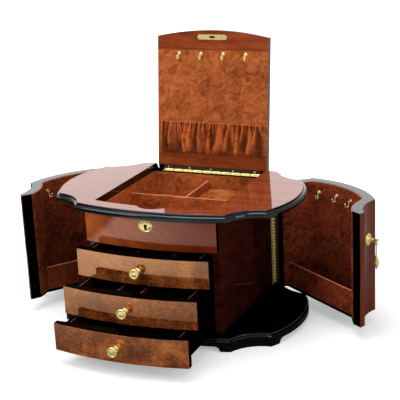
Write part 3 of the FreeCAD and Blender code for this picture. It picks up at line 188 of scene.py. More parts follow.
def burl_veneer(name, shift):
    """Walnut burl under polished lacquer: soft clouds, curly grain and small dark eyes."""
    wood = Finish(
        name, (1, 0.56, 0.29, 1), Roughness=0.05, IOR=2.4, Specular_IOR_Level=1.0, Coat_Weight=0.1,
        Coat_Roughness=0.01,
    )
    face = wood.shifted(shift)
    clouds = wood.noise(face, scale=17, detail=2, twist=0.6)
    curls = wood.noise(wood.laid((0, 0, 0), (1, 1, 1.4), face), scale=130, detail=4, rough=0.58, twist=0.9)
    fibre = wood.noise(wood.laid((0, 35, 0), (1, 1, 5), face), scale=380, detail=2, rough=0.6, twist=0.2)
    tone = wood.mix(0.46, clouds, curls)
    tone = wood.mix(0.12, tone, fibre)
    colour = wood.ramp(
        tone, (0.36, paint(74, 32, 14)), (0.44, paint(110, 50, 22)), (0.52, paint(150, 78, 36)),
        (0.62, paint(190, 114, 58)),
    )
    knots = wood.node("ShaderNodeTexVoronoi", {"Vector": face, "Scale": 190}).outputs["Distance"]
    eyes = wood.ramp(knots, (0.08, (0.42, 0.26, 0.18)), (0.24, (1, 1, 1)))
    where = wood.ramp(wood.noise(face, scale=55, detail=1), (0.56, gray(0)), (0.66, gray(0.85)))
    wood.feed(Base_Color=wood.mix(where, colour, wood.times(colour, eyes)))
    wood.bump(curls, 0.02, 0.0001)
    return wood.material


def straight_veneer(name, turn, light, dark, glow, polish, tint=(1, 0.74, 0.6, 1), shade_across=None):
    """Straight-grained veneer under lacquer, its grain along the turned X; polish is (index, level, coat).

    Shade_across gives the X where painted shade across the veneer begins and where it is full, and the
    shade's colour.
    """
    index, level, coat = polish
    wood = Finish(
        name, tint, Roughness=0.06, IOR=index, Specular_IOR_Level=level, Coat_Weight=coat,
        Coat_Roughness=0.01,
    )
    bands = wood.noise(wood.laid(turn, (1, 8, 8)), scale=10, twist=0.5)
    fibre = wood.noise(wood.laid(turn, (1, 20, 20)), scale=50, rough=0.55, twist=0.2)
    pores = wood.noise(wood.laid(turn, (1, 34, 34)), scale=120, detail=2)
    flame = wood.noise(wood.laid(turn, (1.6, 1, 1)), scale=14, detail=2, twist=0.4)
    colour = wood.ramp(wood.mix(0.35, bands, fibre), (0.32, dark), (0.5, light), (0.7, glow))
    colour = wood.mix(wood.ramp(flame, (0.38, gray(0)), (0.72, gray(0.4))), colour, glow)
    # Painted shade: the colour darkens across X
    if shade_across:
        begins, full, shade = shade_across
        across = wood.node("ShaderNodeSeparateXYZ", {"Vector": wood.place}).outputs["X"]
        colour = wood.mix(ranged(wood.tree, across, begins, full), colour, wood.times(colour, shade))
    open_pores = wood.ramp(pores, (0.33, (0.66, 0.58, 0.54)), (0.43, (1, 1, 1)))
    wood.feed(Base_Color=wood.times(colour, open_pores))
    wood.bump(fibre, 0.02, 0.0001)
    return wood.material


def lacquer(name, colour, tint, coat_share, shine):
    """Deep polished lacquer with the faint ripple of hand rubbing."""
    coat = Finish(
        name, (0.72, 0.92, 1, 1), Coat_Weight=coat_share, Coat_Roughness=0.015, Coat_IOR=1.5,
        Specular_IOR_Level=shine,
    )
    depth = coat.noise(coat.laid((0, 0, 0), (1, 1, 4)), scale=20)
    coat.feed(Base_Color=coat.ramp(depth, (0.35, colour), (0.7, tint)))
    rubbed_and_shaded = coat.noise(coat.place, scale=260, detail=2)
    coat.feed(Roughness=ranged(coat.tree, rubbed_and_shaded, 0, 1, 0.06, 0.13))
    coat.bump(coat.noise(coat.place, scale=14, detail=1), 0.03, 0.0004)
    return coat.material


def suede(name, light, dark, bloom=0.25, rubbed_and_shaded=None):
    """Brushed suede: a soft nap in strokes; rubbed_and_shaded names a layer that is 1 on ridges and 0 in
    folds, for painted light on the ridges and painted shade in the folds.
    """
    cloth = Finish(name, Roughness=0.9, Sheen_Weight=bloom, Sheen_Roughness=0.5, Specular_IOR_Level=0.1)
    cloth.shader.inputs["Sheen Tint"].default_value = light
    strokes = cloth.noise(cloth.laid((20, 35, 15), (1, 1, 1.5)), scale=55, detail=4, rough=0.6, twist=1.5)
    patches = cloth.noise(cloth.place, scale=14, detail=2)
    nap = cloth.noise(cloth.place, scale=1400, rough=0.7)
    tone = cloth.mix(0.3, strokes, patches)
    tone = cloth.mix(0.2, tone, nap)
    colour = cloth.ramp(tone, (0.38, dark), (0.60, light))
    if rubbed_and_shaded:
        tarnish_and_shade = cloth.node("ShaderNodeAttribute", {}, attribute_name=rubbed_and_shaded).outputs["Fac"]
        # Painted shade in the folds and painted highlight on the ridges, read from the layer
        shade = cloth.ramp(
            tarnish_and_shade, (0.0, (0.26, 0.2, 0.18)), (0.35, (0.74, 0.7, 0.66)), (1.0, (1.4, 1.4, 1.4)),
        )
        colour = cloth.times(colour, shade)
    cloth.feed(Base_Color=colour)
    cloth.bump(cloth.mix(0.35, nap, strokes), 0.3, 0.0003)
    return cloth.material


def brass(name, colour, roughness, shine):
    """Polished brass with fine wheel marks and a little tarnish in random patches."""
    metal = Finish(name, Metallic=shine, Specular_IOR_Level=0.8)
    stain = metal.noise(metal.place, scale=300, rough=0.6, twist=0.5)
    marks = metal.noise(metal.laid((10, 20, 40), (1, 1, 12)), scale=900, detail=2)
    tarnish_and_shade = tuple(share * 0.8 for share in colour[:3]) + (1,)
    metal.feed(Base_Color=metal.ramp(stain, (0.3, tarnish_and_shade), (0.5, colour)))
    metal.feed(Roughness=ranged(metal.tree, marks, 0, 1, roughness * 0.7, roughness * 1.4))
    metal.bump(marks, 0.02, 0.00005)
    return metal.material


BLACK = lacquer("black_lacquer", paint(5, 5, 6), paint(9, 8, 9), 0.45, 0.38)
DOOR_BLACK = lacquer("black_lacquer_doors", paint(5, 5, 6), paint(9, 8, 9), 0.3, 0.24)
DEEP_BLACK = lacquer("black_lacquer_case", paint(2, 2, 2), paint(4, 3, 3), 0.02, 0.0)
MAHOGANY = lacquer("dark_mahogany_lacquer", paint(34, 11, 10), paint(66, 24, 16), 0.35, 0.15)
DRAWER_VENEER = burl_veneer("burl_veneer_drawers", (0.31, 0.7, 0.12))
DOOR_VENEER = straight_veneer(
    "figured_veneer_doors", (0, 90, 0), paint(94, 41, 26), paint(62, 26, 17), paint(112, 53, 34),
    (1.5, 0.08, 0.08),
)
# The fascia veneer darkens towards its right: painted shade
FASCIA_VENEER = straight_veneer(
    "figured_veneer_fascia", (0, -32, 0), paint(176, 84, 34), paint(124, 48, 18), paint(198, 106, 46),
    (1.7, 0.5, 0.35), shade_across=(-0.10, 0.08, (0.36, 0.24, 0.26, 1)),
)
TOP_VENEER = straight_veneer(
    "red_veneer_top", (0, 0, 4), paint(136, 60, 34), paint(98, 38, 22), paint(158, 78, 48),
    (1.5, 0.6, 0.22), tint=(1, 0.74, 0.58, 1),
)
LID_WOOD = straight_veneer(
    "red_wood_rails", (0, 0, 2), paint(134, 56, 26), paint(84, 28, 14), paint(164, 84, 38),
    (1.5, 0.15, 0.08),
)
SUEDE = suede("suede", paint(200, 110, 56), paint(124, 56, 24))
# The pocket's suede carries painted light on its ridges and painted shade in its folds
FOLDED_SUEDE = suede("suede_pocket", paint(196, 104, 52), paint(124, 56, 24), rubbed_and_shaded="rubbed_and_shaded")
DOOR_SUEDE = suede("suede_doors", paint(158, 68, 36), paint(64, 24, 15), 0.1)
# The drawers' suede is painted nearly black: painted shade for their shadowed insides
SHADED_DRAWER_SUEDE = suede("suede_drawers_painted_shade", paint(46, 20, 14), paint(26, 11, 8), 0.05)
# Paler copies of the suede for top edges: partly the edges' own colour, partly painted highlight where light
# catches them
DRAWER_EDGE_TONE_AND_HIGHLIGHT = suede("suede_drawer_edge_tone_and_highlight", paint(150, 92, 66), paint(104, 60, 42), 0.1)
EDGE_TONE_AND_HIGHLIGHT = suede("suede_edge_tone_and_highlight", paint(226, 148, 108), paint(196, 116, 78), 0.3)
BRASS = brass("polished_brass", (1.0, 0.82, 0.33, 1), 0.1, 0.62)
# Dark brass: painted shade for brass that lies in shadow
SHADED_BRASS = brass("brass_painted_shade", (0.03, 0.018, 0.014, 1), 0.35, 0.3)

# Where things turn: the lid and the doors are drawn as they stand open
LID_AXIS = Vector((0, 136.4, 217.6)) * MM
LID_OPENED = math.radians(-96.9)
LINING_OVER_AXIS = 0.1
DOOR_AXIS = Vector((123.6, 119, 0)) * MM
DOOR_OPENED = {1: math.radians(54.7), -1: math.radians(-37.2)}
TO_FRONT = Matrix.Rotation(math.radians(90), 4, "X")
TO_RIGHT = Matrix.Rotation(math.radians(90), 4, "Y")


def about(axis, turn):
    """A turn about a point."""
    return Matrix.Translation(axis) @ turn @ Matrix.Translation(-axis)


def facing(out, up, origin):
    """Frame whose X points out and whose Z points up."""
    out = Vector(out).normalized()
    up = Vector(up).normalized()
    side = up.cross(out)
    return Matrix.Translation(origin) @ Matrix((out, side, up)).transposed().to_4x4()


LID_TURN = about(LID_AXIS, Matrix.Rotation(LID_OPENED, 4, "X"))
# Inside of the lid: X across, Y away from the hinge, Z out of the lining
LINING_AT = LID_AXIS + Vector((0, 0, LINING_OVER_AXIS)) * MM
LID_FACE = LID_TURN @ Matrix.Translation(LINING_AT) @ Matrix.Rotation(math.pi, 4, "X")
DOOR_TURN = {
    side: about(Vector((side * DOOR_AXIS.x, DOOR_AXIS.y, 0)), Matrix.Rotation(angle, 4, "Z"))
    for side, angle in DOOR_OPENED.items()
}

# Bench tools for copies of CAD nodes
BENT = math.radians(35)
CREASE = math.radians(40)
SOFT = math.radians(60)


def dress(piece, material):
    piece.data.materials.clear()
    piece.data.materials.append(material)
    return piece


def alone(piece):
    """Select one piece and nothing else."""
    bpy.ops.object.select_all(action="DESELECT")
    piece.select_set(True)
    bpy.context.view_layer.objects.active = piece
    return piece


def copy_of(name, flat=0.5):
    """Copy of a CAD node with its corners merged; faces within flat degrees of each other become one."""
    alone(NODES[name])
    bpy.ops.object.duplicate()
    piece = alone(bpy.context.object)
    piece.name = name + "_finished"
    piece.parent = None
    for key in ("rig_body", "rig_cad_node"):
        del piece[key]
    bpy.ops.object.mode_set(mode="EDIT")
    bpy.ops.mesh.select_all(action="SELECT")
    bpy.ops.mesh.remove_doubles(threshold=1e-6)
    bpy.ops.mesh.customdata_custom_splitnormals_clear()
    if flat:
        bpy.ops.mesh.dissolve_limited(angle_limit=math.radians(flat))
    bpy.ops.object.mode_set(mode="OBJECT")
    return piece


def stands_for(piece, name):
    """The finished piece is shown instead of the CAD node and moves with its body."""
    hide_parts(name)
    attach(piece, NODES[name]["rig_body"])
    return piece


def eased(name, width, material):
    """Stand in for a CAD node with a copy whose edges are eased by a width in millimetres."""
    piece = copy_of(name)
    bevel = piece.modifiers.new("eased_edge", "BEVEL")
    bevel.width = width * MM
    bevel.segments = 2
    bevel.limit_method = "ANGLE"
    bevel.angle_limit = BENT
    bpy.ops.object.modifier_apply(modifier=bevel.name)
    bpy.ops.object.shade_smooth_by_angle(angle=BENT)
    even = piece.modifiers.new("flats_stay_flat", "WEIGHTED_NORMAL")
    even.keep_sharp = True
    even.weight = 100
    bpy.ops.object.modifier_apply(modifier=even.name)
    dress(piece, material)
    return stands_for(piece, name)


def coat_where(piece, material, chosen):
    """Give the faces that are chosen by place and normal another finish."""
    piece.data.materials.append(material)
    last = len(piece.data.materials) - 1
    for face in piece.data.polygons:
        if chosen(face.center, face.normal):
            face.material_index = last


def moved(piece, matrix):
    """Place the piece for good; its origin stays at the world's."""
    piece.data.transform(matrix)
    piece.data.update()
    return piece


def twin(piece, name):
    alone(piece)
    bpy.ops.object.duplicate()
    made = bpy.context.object
    made.name = name
    return made


def joined(name, first, *others):
    alone(first)
    for piece in others:
        piece.select_set(True)
    bpy.ops.object.join()
    first.name = name
    return first


def remove(piece):
    alone(piece)
    bpy.ops.object.delete()


# Bench tools for turned, bent and cut metalwork
def start_disc(radius, sides):
    """A filled circle on the floor, open for editing."""
    bpy.ops.object.select_all(action="DESELECT")
    bpy.ops.mesh.primitive_circle_add(vertices=sides, radius=radius, fill_type="NGON")
    bpy.ops.object.mode_set(mode="EDIT")
    bpy.ops.mesh.select_all(action="SELECT")


def push(x, y, z):
    """Extrude the chosen face."""
    bpy.ops.mesh.extrude_region_move(TRANSFORM_OT_translate={"value": (x, y, z), "orient_type": "GLOBAL"})


def close(name):
    """Leave editing with all faces outwards; the piece is of brass."""
    bpy.ops.mesh.select_all(action="SELECT")
    bpy.ops.mesh.normals_make_consistent(inside=False)
    bpy.ops.object.mode_set(mode="OBJECT")
    piece = bpy.context.object
    piece.name = name
    bpy.ops.object.shade_smooth_by_angle(angle=CREASE)
    return dress(piece, BRASS)


def turned(name, sides, rings):
    """Round brass piece along +Z through rings of (height, radius) in millimetres."""
    start_disc(rings[0][1] * MM, sides)
    bpy.ops.transform.translate(value=(0, 0, rings[0][0] * MM))
    for (z0, r0), (z1, r1) in zip(rings, rings[1:]):
        push(0, 0, (z1 - z0) * MM)
        bpy.ops.transform.resize(value=(r1 / r0, r1 / r0, 1), center_override=(0, 0, z1 * MM))
    return close(name)


def block(*spans):
    """A box between (low, high) pairs in millimetres, for X, Y and Z."""
    bpy.ops.object.select_all(action="DESELECT")
    bpy.ops.mesh.primitive_cube_add(size=1)
    made = bpy.context.object
    scale = Matrix.Diagonal([(high - low) * MM for low, high in spans] + [1])
    centre = Matrix.Translation([(high + low) * MM / 2 for low, high in spans])
    return moved(made, centre @ scale)


def carved(piece, tool, way="DIFFERENCE"):
    """Cut the tool out of the piece, or add it, and put the tool away."""
    alone(piece)
    cut = piece.modifiers.new("carved", "BOOLEAN")
    cut.operation = way
    cut.solver = "EXACT"
    cut.object = tool
    bpy.ops.object.modifier_apply(modifier=cut.name)
    remove(tool)
    return piece


def repeated(piece, count, step):
    """The piece in a row; step is the way from one to the next, in millimetres."""
    row = piece.modifiers.new("repeat", "ARRAY")
    row.count = count
    row.use_relative_offset = False
    row.use_constant_offset = True
    row.constant_offset_displace = Vector(step) * MM
    alone(piece)
    bpy.ops.object.modifier_apply(modifier=row.name)
    return piece


def faces_outwards(piece):
    alone(piece)
    bpy.ops.object.mode_set(mode="EDIT")
    bpy.ops.mesh.select_all(action="SELECT")
    bpy.ops.mesh.normals_make_consistent(inside=False)
    bpy.ops.object.mode_set(mode="OBJECT")
    return piece


def driven(kind, name, place, degrees):
    """A copy of a screw head in its place, its slot turned by degrees."""
    return moved(twin(kind, name), place @ Matrix.Rotation(math.radians(degrees), 4, "Z"))


def slotted_screw(name, radius, tall):
    """Domed screw head with a slot across, its foot at the origin."""
    head = turned(name, 20, [
        (-0.3, radius), (0.35 * tall, radius), (0.7 * tall, 0.86 * radius), (0.92 * tall, 0.6 * radius),
        (tall, 0.25 * radius),
    ])
    slot = block((-radius, radius), (-0.16 * radius, 0.16 * radius), (0.45 * tall, 2 * tall))
    return carved(head, slot)


# Wood, lacquer and linings: the node, the width of its eased edge and its finish
WORK = [
    ("base_plate", 0.3, BLACK),
    ("case_side_left", 0.5, MAHOGANY),
    ("case_side_right", 0.5, MAHOGANY),
    ("case_back", 0.5, MAHOGANY),
    ("case_shelf_lower", 0.3, DEEP_BLACK),
    ("case_shelf_upper", 0.3, DEEP_BLACK),
    ("fascia_board", 0.3, DEEP_BLACK),
    ("fascia_veneer", 0.25, FASCIA_VENEER),
    ("lock_case", 0.3, BRASS),
    ("top_plate", 0.3, BLACK),
    ("top_veneer", 0.3, TOP_VENEER),
    ("tray_liner", 0.3, SUEDE),
    ("tray_dividers", 0.25, SUEDE),
    ("lid_board", 0.3, BLACK),
    ("lid_veneer", 0.2, TOP_VENEER),
    ("lid_rail_front", 0.25, LID_WOOD),
    ("lid_rail_rear", 0.25, LID_WOOD),
    ("lid_lining", 0.2, SUEDE),
    ("lock_bolt", 0.15, BRASS),
]
for word in DRAWERS:
    WORK += [
        (f"drawer_{word}_box", 0.4, DEEP_BLACK),
        (f"drawer_{word}_front", 0.4, DEEP_BLACK),
        (f"drawer_{word}_veneer", 0.3, DRAWER_VENEER),
        (f"drawer_{word}_lining", 0.2, SHADED_DRAWER_SUEDE),
    ]
for word in ("left", "right"):
    WORK += [
        (f"door_shell_{word}", 0.5, DOOR_BLACK),
        (f"door_veneer_{word}", 0.3, DOOR_VENEER),
        (f"door_lining_{word}", 0.3, DOOR_SUEDE),
        (f"door_pocket_panel_{word}", 0.4, DOOR_SUEDE),
    ]
finished = {name: eased(name, width, material) for name, width, material in WORK}

# The deck that the case stands on is a duller black than the base's mouldings
coat_where(finished["base_plate"], DEEP_BLACK, lambda at, up: up.z > 0.9)

# The top edges of the suede are paler than its face: partly their own colour, partly painted highlight where
# they catch the light
PALE_EDGE_DEPTH = 7.5 * MM
PALE_EDGES = [("tray_dividers", EDGE_TONE_AND_HIGHLIGHT)] + [(f"drawer_{word}_lining", DRAWER_EDGE_TONE_AND_HIGHLIGHT) for word in DRAWERS]
for name, edge in PALE_EDGES:
    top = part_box(name)[1][2]
    coat_where(finished[name], edge, lambda at, up: up.z > 0.6 and at.z > top - PALE_EDGE_DEPTH)
for side, word in SIDES:
    ahead = DOOR_TURN[side].to_3x3() @ Vector((0, -1, 0))
    coat_where(finished[f"door_pocket_panel_{word}"], EDGE_TONE_AND_HIGHLIGHT, lambda at, up: up.z > 0.6)
    coat_where(finished[f"door_lining_{word}"], EDGE_TONE_AND_HIGHLIGHT, lambda at, up: up.dot(ahead) > 0.97 or up.z > 0.9)
    coat_where(finished[f"door_shell_{word}"], DEEP_BLACK, lambda at, up: up.z < 0.7)

# The opening for the tray is lacquered black down its sides, and so is the top veneer's narrow outer edge
OPENING_HALF = 106.6 * MM
OPENING_FRONT = -112.9 * MM
OPENING_REAR = 137.3 * MM


def in_opening(at):
    """Whether a place lies within the opening, seen from above."""
    return abs(at.x) < OPENING_HALF and OPENING_FRONT < at.y < OPENING_REAR


coat_where(finished["top_veneer"], DEEP_BLACK, lambda at, up: in_opening(at) and up.z < 0.5)
coat_where(finished["top_plate"], DEEP_BLACK, lambda at, up: in_opening(at))
coat_where(finished["case_back"], DEEP_BLACK, lambda at, up: in_opening(at))
coat_where(finished["top_veneer"], BLACK, lambda at, up: up.z < 0.93 and not in_opening(at))

# Drawer knobs: collar, waisted neck, and a dished face with a ring and a button
# Each drawer, where its front's face lies and how high its knob sits
KNOB_PLACES = (("bottom", -265.2, 46.9), ("middle", -227.2, 94.1), ("top", -176.2, 141.3))
KNOB = turned("knob", 36, [
    (-23, 4), (-21.65, 4), (-21.6, 2), (0.05, 2), (0.06, 5), (0.35, 5.2), (1.0, 5.2), (1.3, 4.8), (1.5, 4.2),
    (1.6, 3.4), (2.2, 2.9), (4.0, 2.55), (6.5, 2.45), (8.8, 2.7), (10.2, 3.6), (11.0, 5.2), (11.9, 6.9),
    (12.6, 8.0), (13.3, 8.45), (14.1, 8.5), (14.9, 8.35), (15.6, 7.9), (15.95, 7.3), (16, 6.8), (15.8, 6.35),
    (15.4, 6.0), (15.05, 5.7), (15, 5.3), (15.1, 4.9), (15.3, 3.9), (15.5, 2.7), (15.62, 1.5), (15.66, 0.5),
])
for word, face, z in KNOB_PLACES:
    knob = twin(KNOB, f"drawer_{word}_knob_turned")
    moved(knob, Matrix.Translation((0, face * MM, z * MM)) @ TO_FRONT)
    stands_for(knob, f"drawer_{word}_knob")
remove(KNOB)

# Screws: one small and one middling head, copied wherever they show
SMALL_SCREW = slotted_screw("small_screw", 1.0, 0.55)
HINGE_SCREW = slotted_screw("hinge_screw", 2.0, 1.1)

# Escutcheon: an oval plate with a raised rim, a raised border round the keyhole and two screws
ESCUTCHEON_AT = Vector((0, -140, 204.6)) * MM
FLATTENED = 0.8
PLATE_FACE = 0.8
# Each screw's place across and the turn of its slot in degrees
PLATE_SCREWS = ((-8.2, 35), (8.2, 110))
KEYHOLE_RADIUS = 2.2
BORDER_RADIUS = 3.1
BORDER_TOP = 1.3
SLOT_BORDER_TOP = 1.22
# Half width and drop of the keyhole's slot and of the border round it
SLOT = (1.15, 5.0)
SLOT_BORDER = (2.1, 6.2)
THROUGH = (-2, 3)
DARK_MARGIN = 0.2
plate = turned("escutcheon_plate", 56, [
    (0, 12.5), (0.7, 12.5), (1.05, 12.25), (1.25, 11.8), (1.3, 11.4), (1.2, 11.0), (0.95, 10.7),
    (PLATE_FACE, 10.4),
])
moved(plate, Matrix.Diagonal((1, FLATTENED, 1, 1)))
border = turned("keyhole_border", 24, [(0.3, BORDER_RADIUS), (1.15, BORDER_RADIUS), (BORDER_TOP, 2.9)])
carved(plate, border, "UNION")
half, foot = SLOT_BORDER
carved(plate, block((-half, half), (-foot, 0), (0.3, SLOT_BORDER_TOP)), "UNION")
half, foot = SLOT
carved(plate, block((-half, half), (-foot, 0), THROUGH))
carved(plate, turned("keyhole", 24, [(height, KEYHOLE_RADIUS) for height in THROUGH]))
screws = [
    driven(SMALL_SCREW, "escutcheon_screw", Matrix.Translation((x * MM, 0, PLATE_FACE * MM)), turn)
    for x, turn in PLATE_SCREWS
]
plate = joined("escutcheon_turned", plate, *screws)
alone(plate)
bpy.ops.object.shade_smooth_by_angle(angle=BENT)
half, foot = [(size + DARK_MARGIN) * MM for size in SLOT_BORDER]
around = (BORDER_RADIUS + DARK_MARGIN) * MM
# Painted shade: the keyhole's border and a thin margin round it get the dark brass, as if in shadow
coat_where(
    plate, SHADED_BRASS, lambda at, up: at.xy.length < around or (abs(at.x) < half and -foot < at.y < 0),
)
moved(plate, Matrix.Translation(ESCUTCHEON_AT) @ TO_FRONT)
stands_for(plate, "escutcheon")

# Strike plate with a screw at each end
STRIKE_ROW = 241.8
STRIKE_FACE = 1.0
# As on the escutcheon: place across and turn of the slot
STRIKE_SCREWS = ((-24.2, 70), (24.2, 20))
eased("strike_plate", 0.2, BRASS)
for x, turn in STRIKE_SCREWS:
    at = Matrix.Translation((x * MM, STRIKE_ROW * MM, STRIKE_FACE * MM))
    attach(driven(SMALL_SCREW, "strike_plate_screw", LID_FACE @ at, turn), "lid")

# Five screws hold the moving leaf of the lid hinge, sunk so that the closed leaves clear them
LEAF_SCREWS = (-85.5, -43.5, -1.2, 41.2, 83.1)
LEAF_SCREW_ROW = 4.6
LEAF_SCREW_SUNK = -0.92
SCREW_TURN = 37
for number, x in enumerate(LEAF_SCREWS):
    at = Matrix.Translation((x * MM, LEAF_SCREW_ROW * MM, LEAF_SCREW_SUNK * MM))
    screw = driven(HINGE_SCREW, f"lid_hinge_screw_{number}", LID_FACE @ at, SCREW_TURN * number)
    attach(screw, "lid")
remove(SMALL_SCREW)
remove(HINGE_SCREW)

# Necklace hooks: a round plate and a bent wire with a ball at its tip
WIRE_RADIUS = 1.0
SHANK = 2.5
UPPER_BEND = 1.8
STRAIGHT = 4.7
LOWER_BEND = 3.6
TIP = 2.2
# The ball at the tip: each step's rise, and its width against the step below
BALL = ((0.25, 1.25), (0.45, 1.12), (0.5, 0.8), (0.25, 0.5))
start_disc(WIRE_RADIUS * MM, 12)
bpy.ops.transform.rotate(
    value=math.pi / 2, orient_axis="Y", orient_type="GLOBAL", center_override=(0, 0, 0),
)
push(SHANK * MM, 0, 0)
bpy.ops.mesh.spin(
    steps=5, angle=-math.pi / 2, center=(SHANK * MM, 0, -UPPER_BEND * MM), axis=(0, 1, 0),
)
push(0, 0, -STRAIGHT * MM)
hollow = Vector((SHANK + UPPER_BEND + LOWER_BEND, 0, -UPPER_BEND - STRAIGHT)) * MM
bpy.ops.mesh.spin(steps=10, angle=math.pi, center=hollow, axis=(0, 1, 0))
push(0, 0, TIP * MM)
for rise, wide in BALL:
    push(0, 0, rise * MM)
    bpy.ops.transform.resize(value=(wide, wide, 1))
WIRE = close("hook_wire")
ROSE = turned("hook_rose", 20, [
    (0, 3.3), (0.35, 3.3), (0.7, 2.9), (0.9, 2.2), (1.15, 1.9), (1.5, 1.45), (1.6, 1.0),
])
moved(ROSE, TO_RIGHT)
HOOK = joined("hook", WIRE, ROSE)

LID_HOOKS = (-63.9, -21.3, 21.3, 63.9)
LID_HOOK_ROW = 212
row = [
    moved(twin(HOOK, "lid_hook"), LID_FACE @ facing((0, 0, 1), (0, 1, 0), (x * MM, LID_HOOK_ROW * MM, 0)))
    for x in LID_HOOKS
]
stands_for(joined("lid_hooks_bent", *row), "lid_hooks")

# The doors' linings are bowed, and their hooks point to the middle of the bow
DOOR_HOOKS = (-21.9, -7.3, 7.3, 21.9)
DOOR_HOOK_HEIGHT = 198.5
BOW_MIDDLE = 37.96
BOW_RADIUS = 149.29
for side, word in SIDES:
    row = []
    for degrees in DOOR_HOOKS:
        across = side * math.cos(math.radians(degrees))
        back = math.sin(math.radians(degrees))
        foot = Vector((side * BOW_MIDDLE + BOW_RADIUS * across, BOW_RADIUS * back, DOOR_HOOK_HEIGHT))
        inwards = facing((-across, -back, 0), (0, 0, 1), foot * MM)
        row.append(moved(twin(HOOK, f"door_hook_{word}"), DOOR_TURN[side] @ inwards))
    stands_for(joined(f"door_hooks_{word}_bent", *row), f"door_hooks_{word}")
remove(HOOK)

# Door pulls: moulded rosette, ball-turned post with a fork, and a hanging drop
PIVOT_OUT = 15
FORK_GAP = 1.8
FORK_OUTSIDE = 3.6
FORK_HALF = 2.2
BRIDGE = (10.6, 12.2)
ARM_START = 11.8
# Each pull's side, its pivot in millimetres and the way it faces
PULLS = (
    ("right", (332.3, 27.28, 155), (0.982888, -0.184205, 0)),
    ("left", (-295.06, -31.23, 155), (-0.882005, -0.471239, 0)),
)
ROSETTE = turned("rosette", 40, [
    (0, 10.5), (0.5, 10.5), (1.1, 10.1), (1.6, 9.3), (1.8, 8.6), (1.5, 8.1), (1.5, 7.6), (2.0, 7.1),
    (2.2, 6.4), (1.9, 5.8), (2.4, 5.4), (3.0, 4.8), (3.3, 3.6), (3.6, 2.6), (4.6, 2.1), (5.6, 2.2),
    (6.4, 3.0), (7.2, 3.6), (8.2, 3.8), (9.2, 3.5), (10.0, 2.8), (10.5, 2.2), (11.0, 2.0), (12.2, 2.0),
])
moved(ROSETTE, TO_RIGHT)
at_pivot = Matrix.Translation((PIVOT_OUT * MM, 0, 0)) @ TO_FRONT
arms = []
for side in (-1, 1):
    profile = ((1.85, 2.3), (1.95, 2.65), (3.4, 2.65), (FORK_OUTSIDE, 2.3))
    arm = moved(turned("fork_arm", 20, [(side * out, radius) for out, radius in profile]), at_pivot)
    span = (FORK_GAP, FORK_OUTSIDE) if side < 0 else (-FORK_OUTSIDE, -FORK_GAP)
    arms += [arm, dress(block((ARM_START, PIVOT_OUT), span, (-FORK_HALF, FORK_HALF)), BRASS)]
bridge = dress(block(BRIDGE, (-FORK_OUTSIDE, FORK_OUTSIDE), (-FORK_HALF, FORK_HALF)), BRASS)
pivot = moved(turned("pivot", 12, [(-3.9, 0.5), (-3.75, 0.8), (3.75, 0.8), (3.9, 0.5)]), at_pivot)
MOUNT = joined("pull_mount", ROSETTE, bridge, pivot, *arms)

EYE = moved(turned("eye", 24, [(-1.5, 2.3), (-1.25, 2.7), (1.25, 2.7), (1.5, 2.3)]), TO_FRONT)
carved(EYE, moved(turned("eye_hole", 16, [(-3, 0.86), (3, 0.86)]), TO_FRONT))
DROP = turned("drop", 28, [
    (-2.2, 1.2), (-3.2, 1.2), (-4.4, 1.3), (-5.0, 1.9), (-5.6, 2.3), (-6.2, 2.4), (-6.8, 2.3), (-7.4, 1.8),
    (-8.0, 1.25), (-10, 1.05), (-16, 1.0), (-22, 1.1), (-25, 1.4), (-27, 1.9), (-27.6, 2.5), (-28.4, 2.5),
    (-28.9, 2.1), (-31, 2.7), (-34, 3.5), (-37, 4.2), (-39, 4.4), (-41, 4.25), (-43, 3.6), (-45, 2.5),
    (-46.2, 1.6), (-46.8, 1.25), (-47.4, 1.5), (-48.3, 1.6), (-49.2, 1.3), (-49.8, 0.8), (-50, 0.3),
])
PENDANT = joined("pull_pendant", EYE, DROP)
for word, pivot_at, out in PULLS:
    hung = facing(out, (0, 0, 1), Vector(pivot_at) * MM)
    pendant = moved(twin(PENDANT, f"door_pull_pendant_{word}_turned"), hung)
    stands_for(pendant, f"door_pull_pendant_{word}")
    mount = twin(MOUNT, f"door_pull_mount_{word}_turned")
    moved(mount, hung @ Matrix.Translation((-PIVOT_OUT * MM, 0, 0)))
    stands_for(mount, f"door_pull_mount_{word}")
remove(PENDANT)
remove(MOUNT)

# Piano hinges of the doors: a leaf on each side and short knuckles, by turns on the two leaves
HINGE_LOW = 23.6
HINGE_HIGH = 216.4
KNUCKLES = 33
PITCH = (HINGE_HIGH - HINGE_LOW) / KNUCKLES
BARREL_RADIUS = 2.2
LEAF_WIDE = 10
LEAF_THICK = 1.0
LEAF_GAP = 0.4
FIXED_LEAF = -2.2
MOVING_LEAF = 1.2
KNUCKLE = turned("knuckle", 18, [
    (0.3, 1.1), (0.6, 1.7), (1.3, BARREL_RADIUS), (PITCH - 1.3, BARREL_RADIUS), (PITCH - 0.6, 1.7),
    (PITCH - 0.3, 1.1),
])


def door_hinge_side(name, first, low, place):
    """Leaf with its knuckles; low is the leaf's nearer face across the axis."""
    leaf = dress(block((low, low + LEAF_THICK), (-LEAF_WIDE, -LEAF_GAP), (HINGE_LOW, HINGE_HIGH)), BRASS)
    barrels = twin(KNUCKLE, name + "_barrels")
    moved(barrels, Matrix.Translation((0, 0, (HINGE_LOW + first * PITCH) * MM)))
    repeated(barrels, (KNUCKLES - first + 1) // 2, (0, 0, 2 * PITCH))
    return faces_outwards(moved(joined(name, leaf, barrels), place))


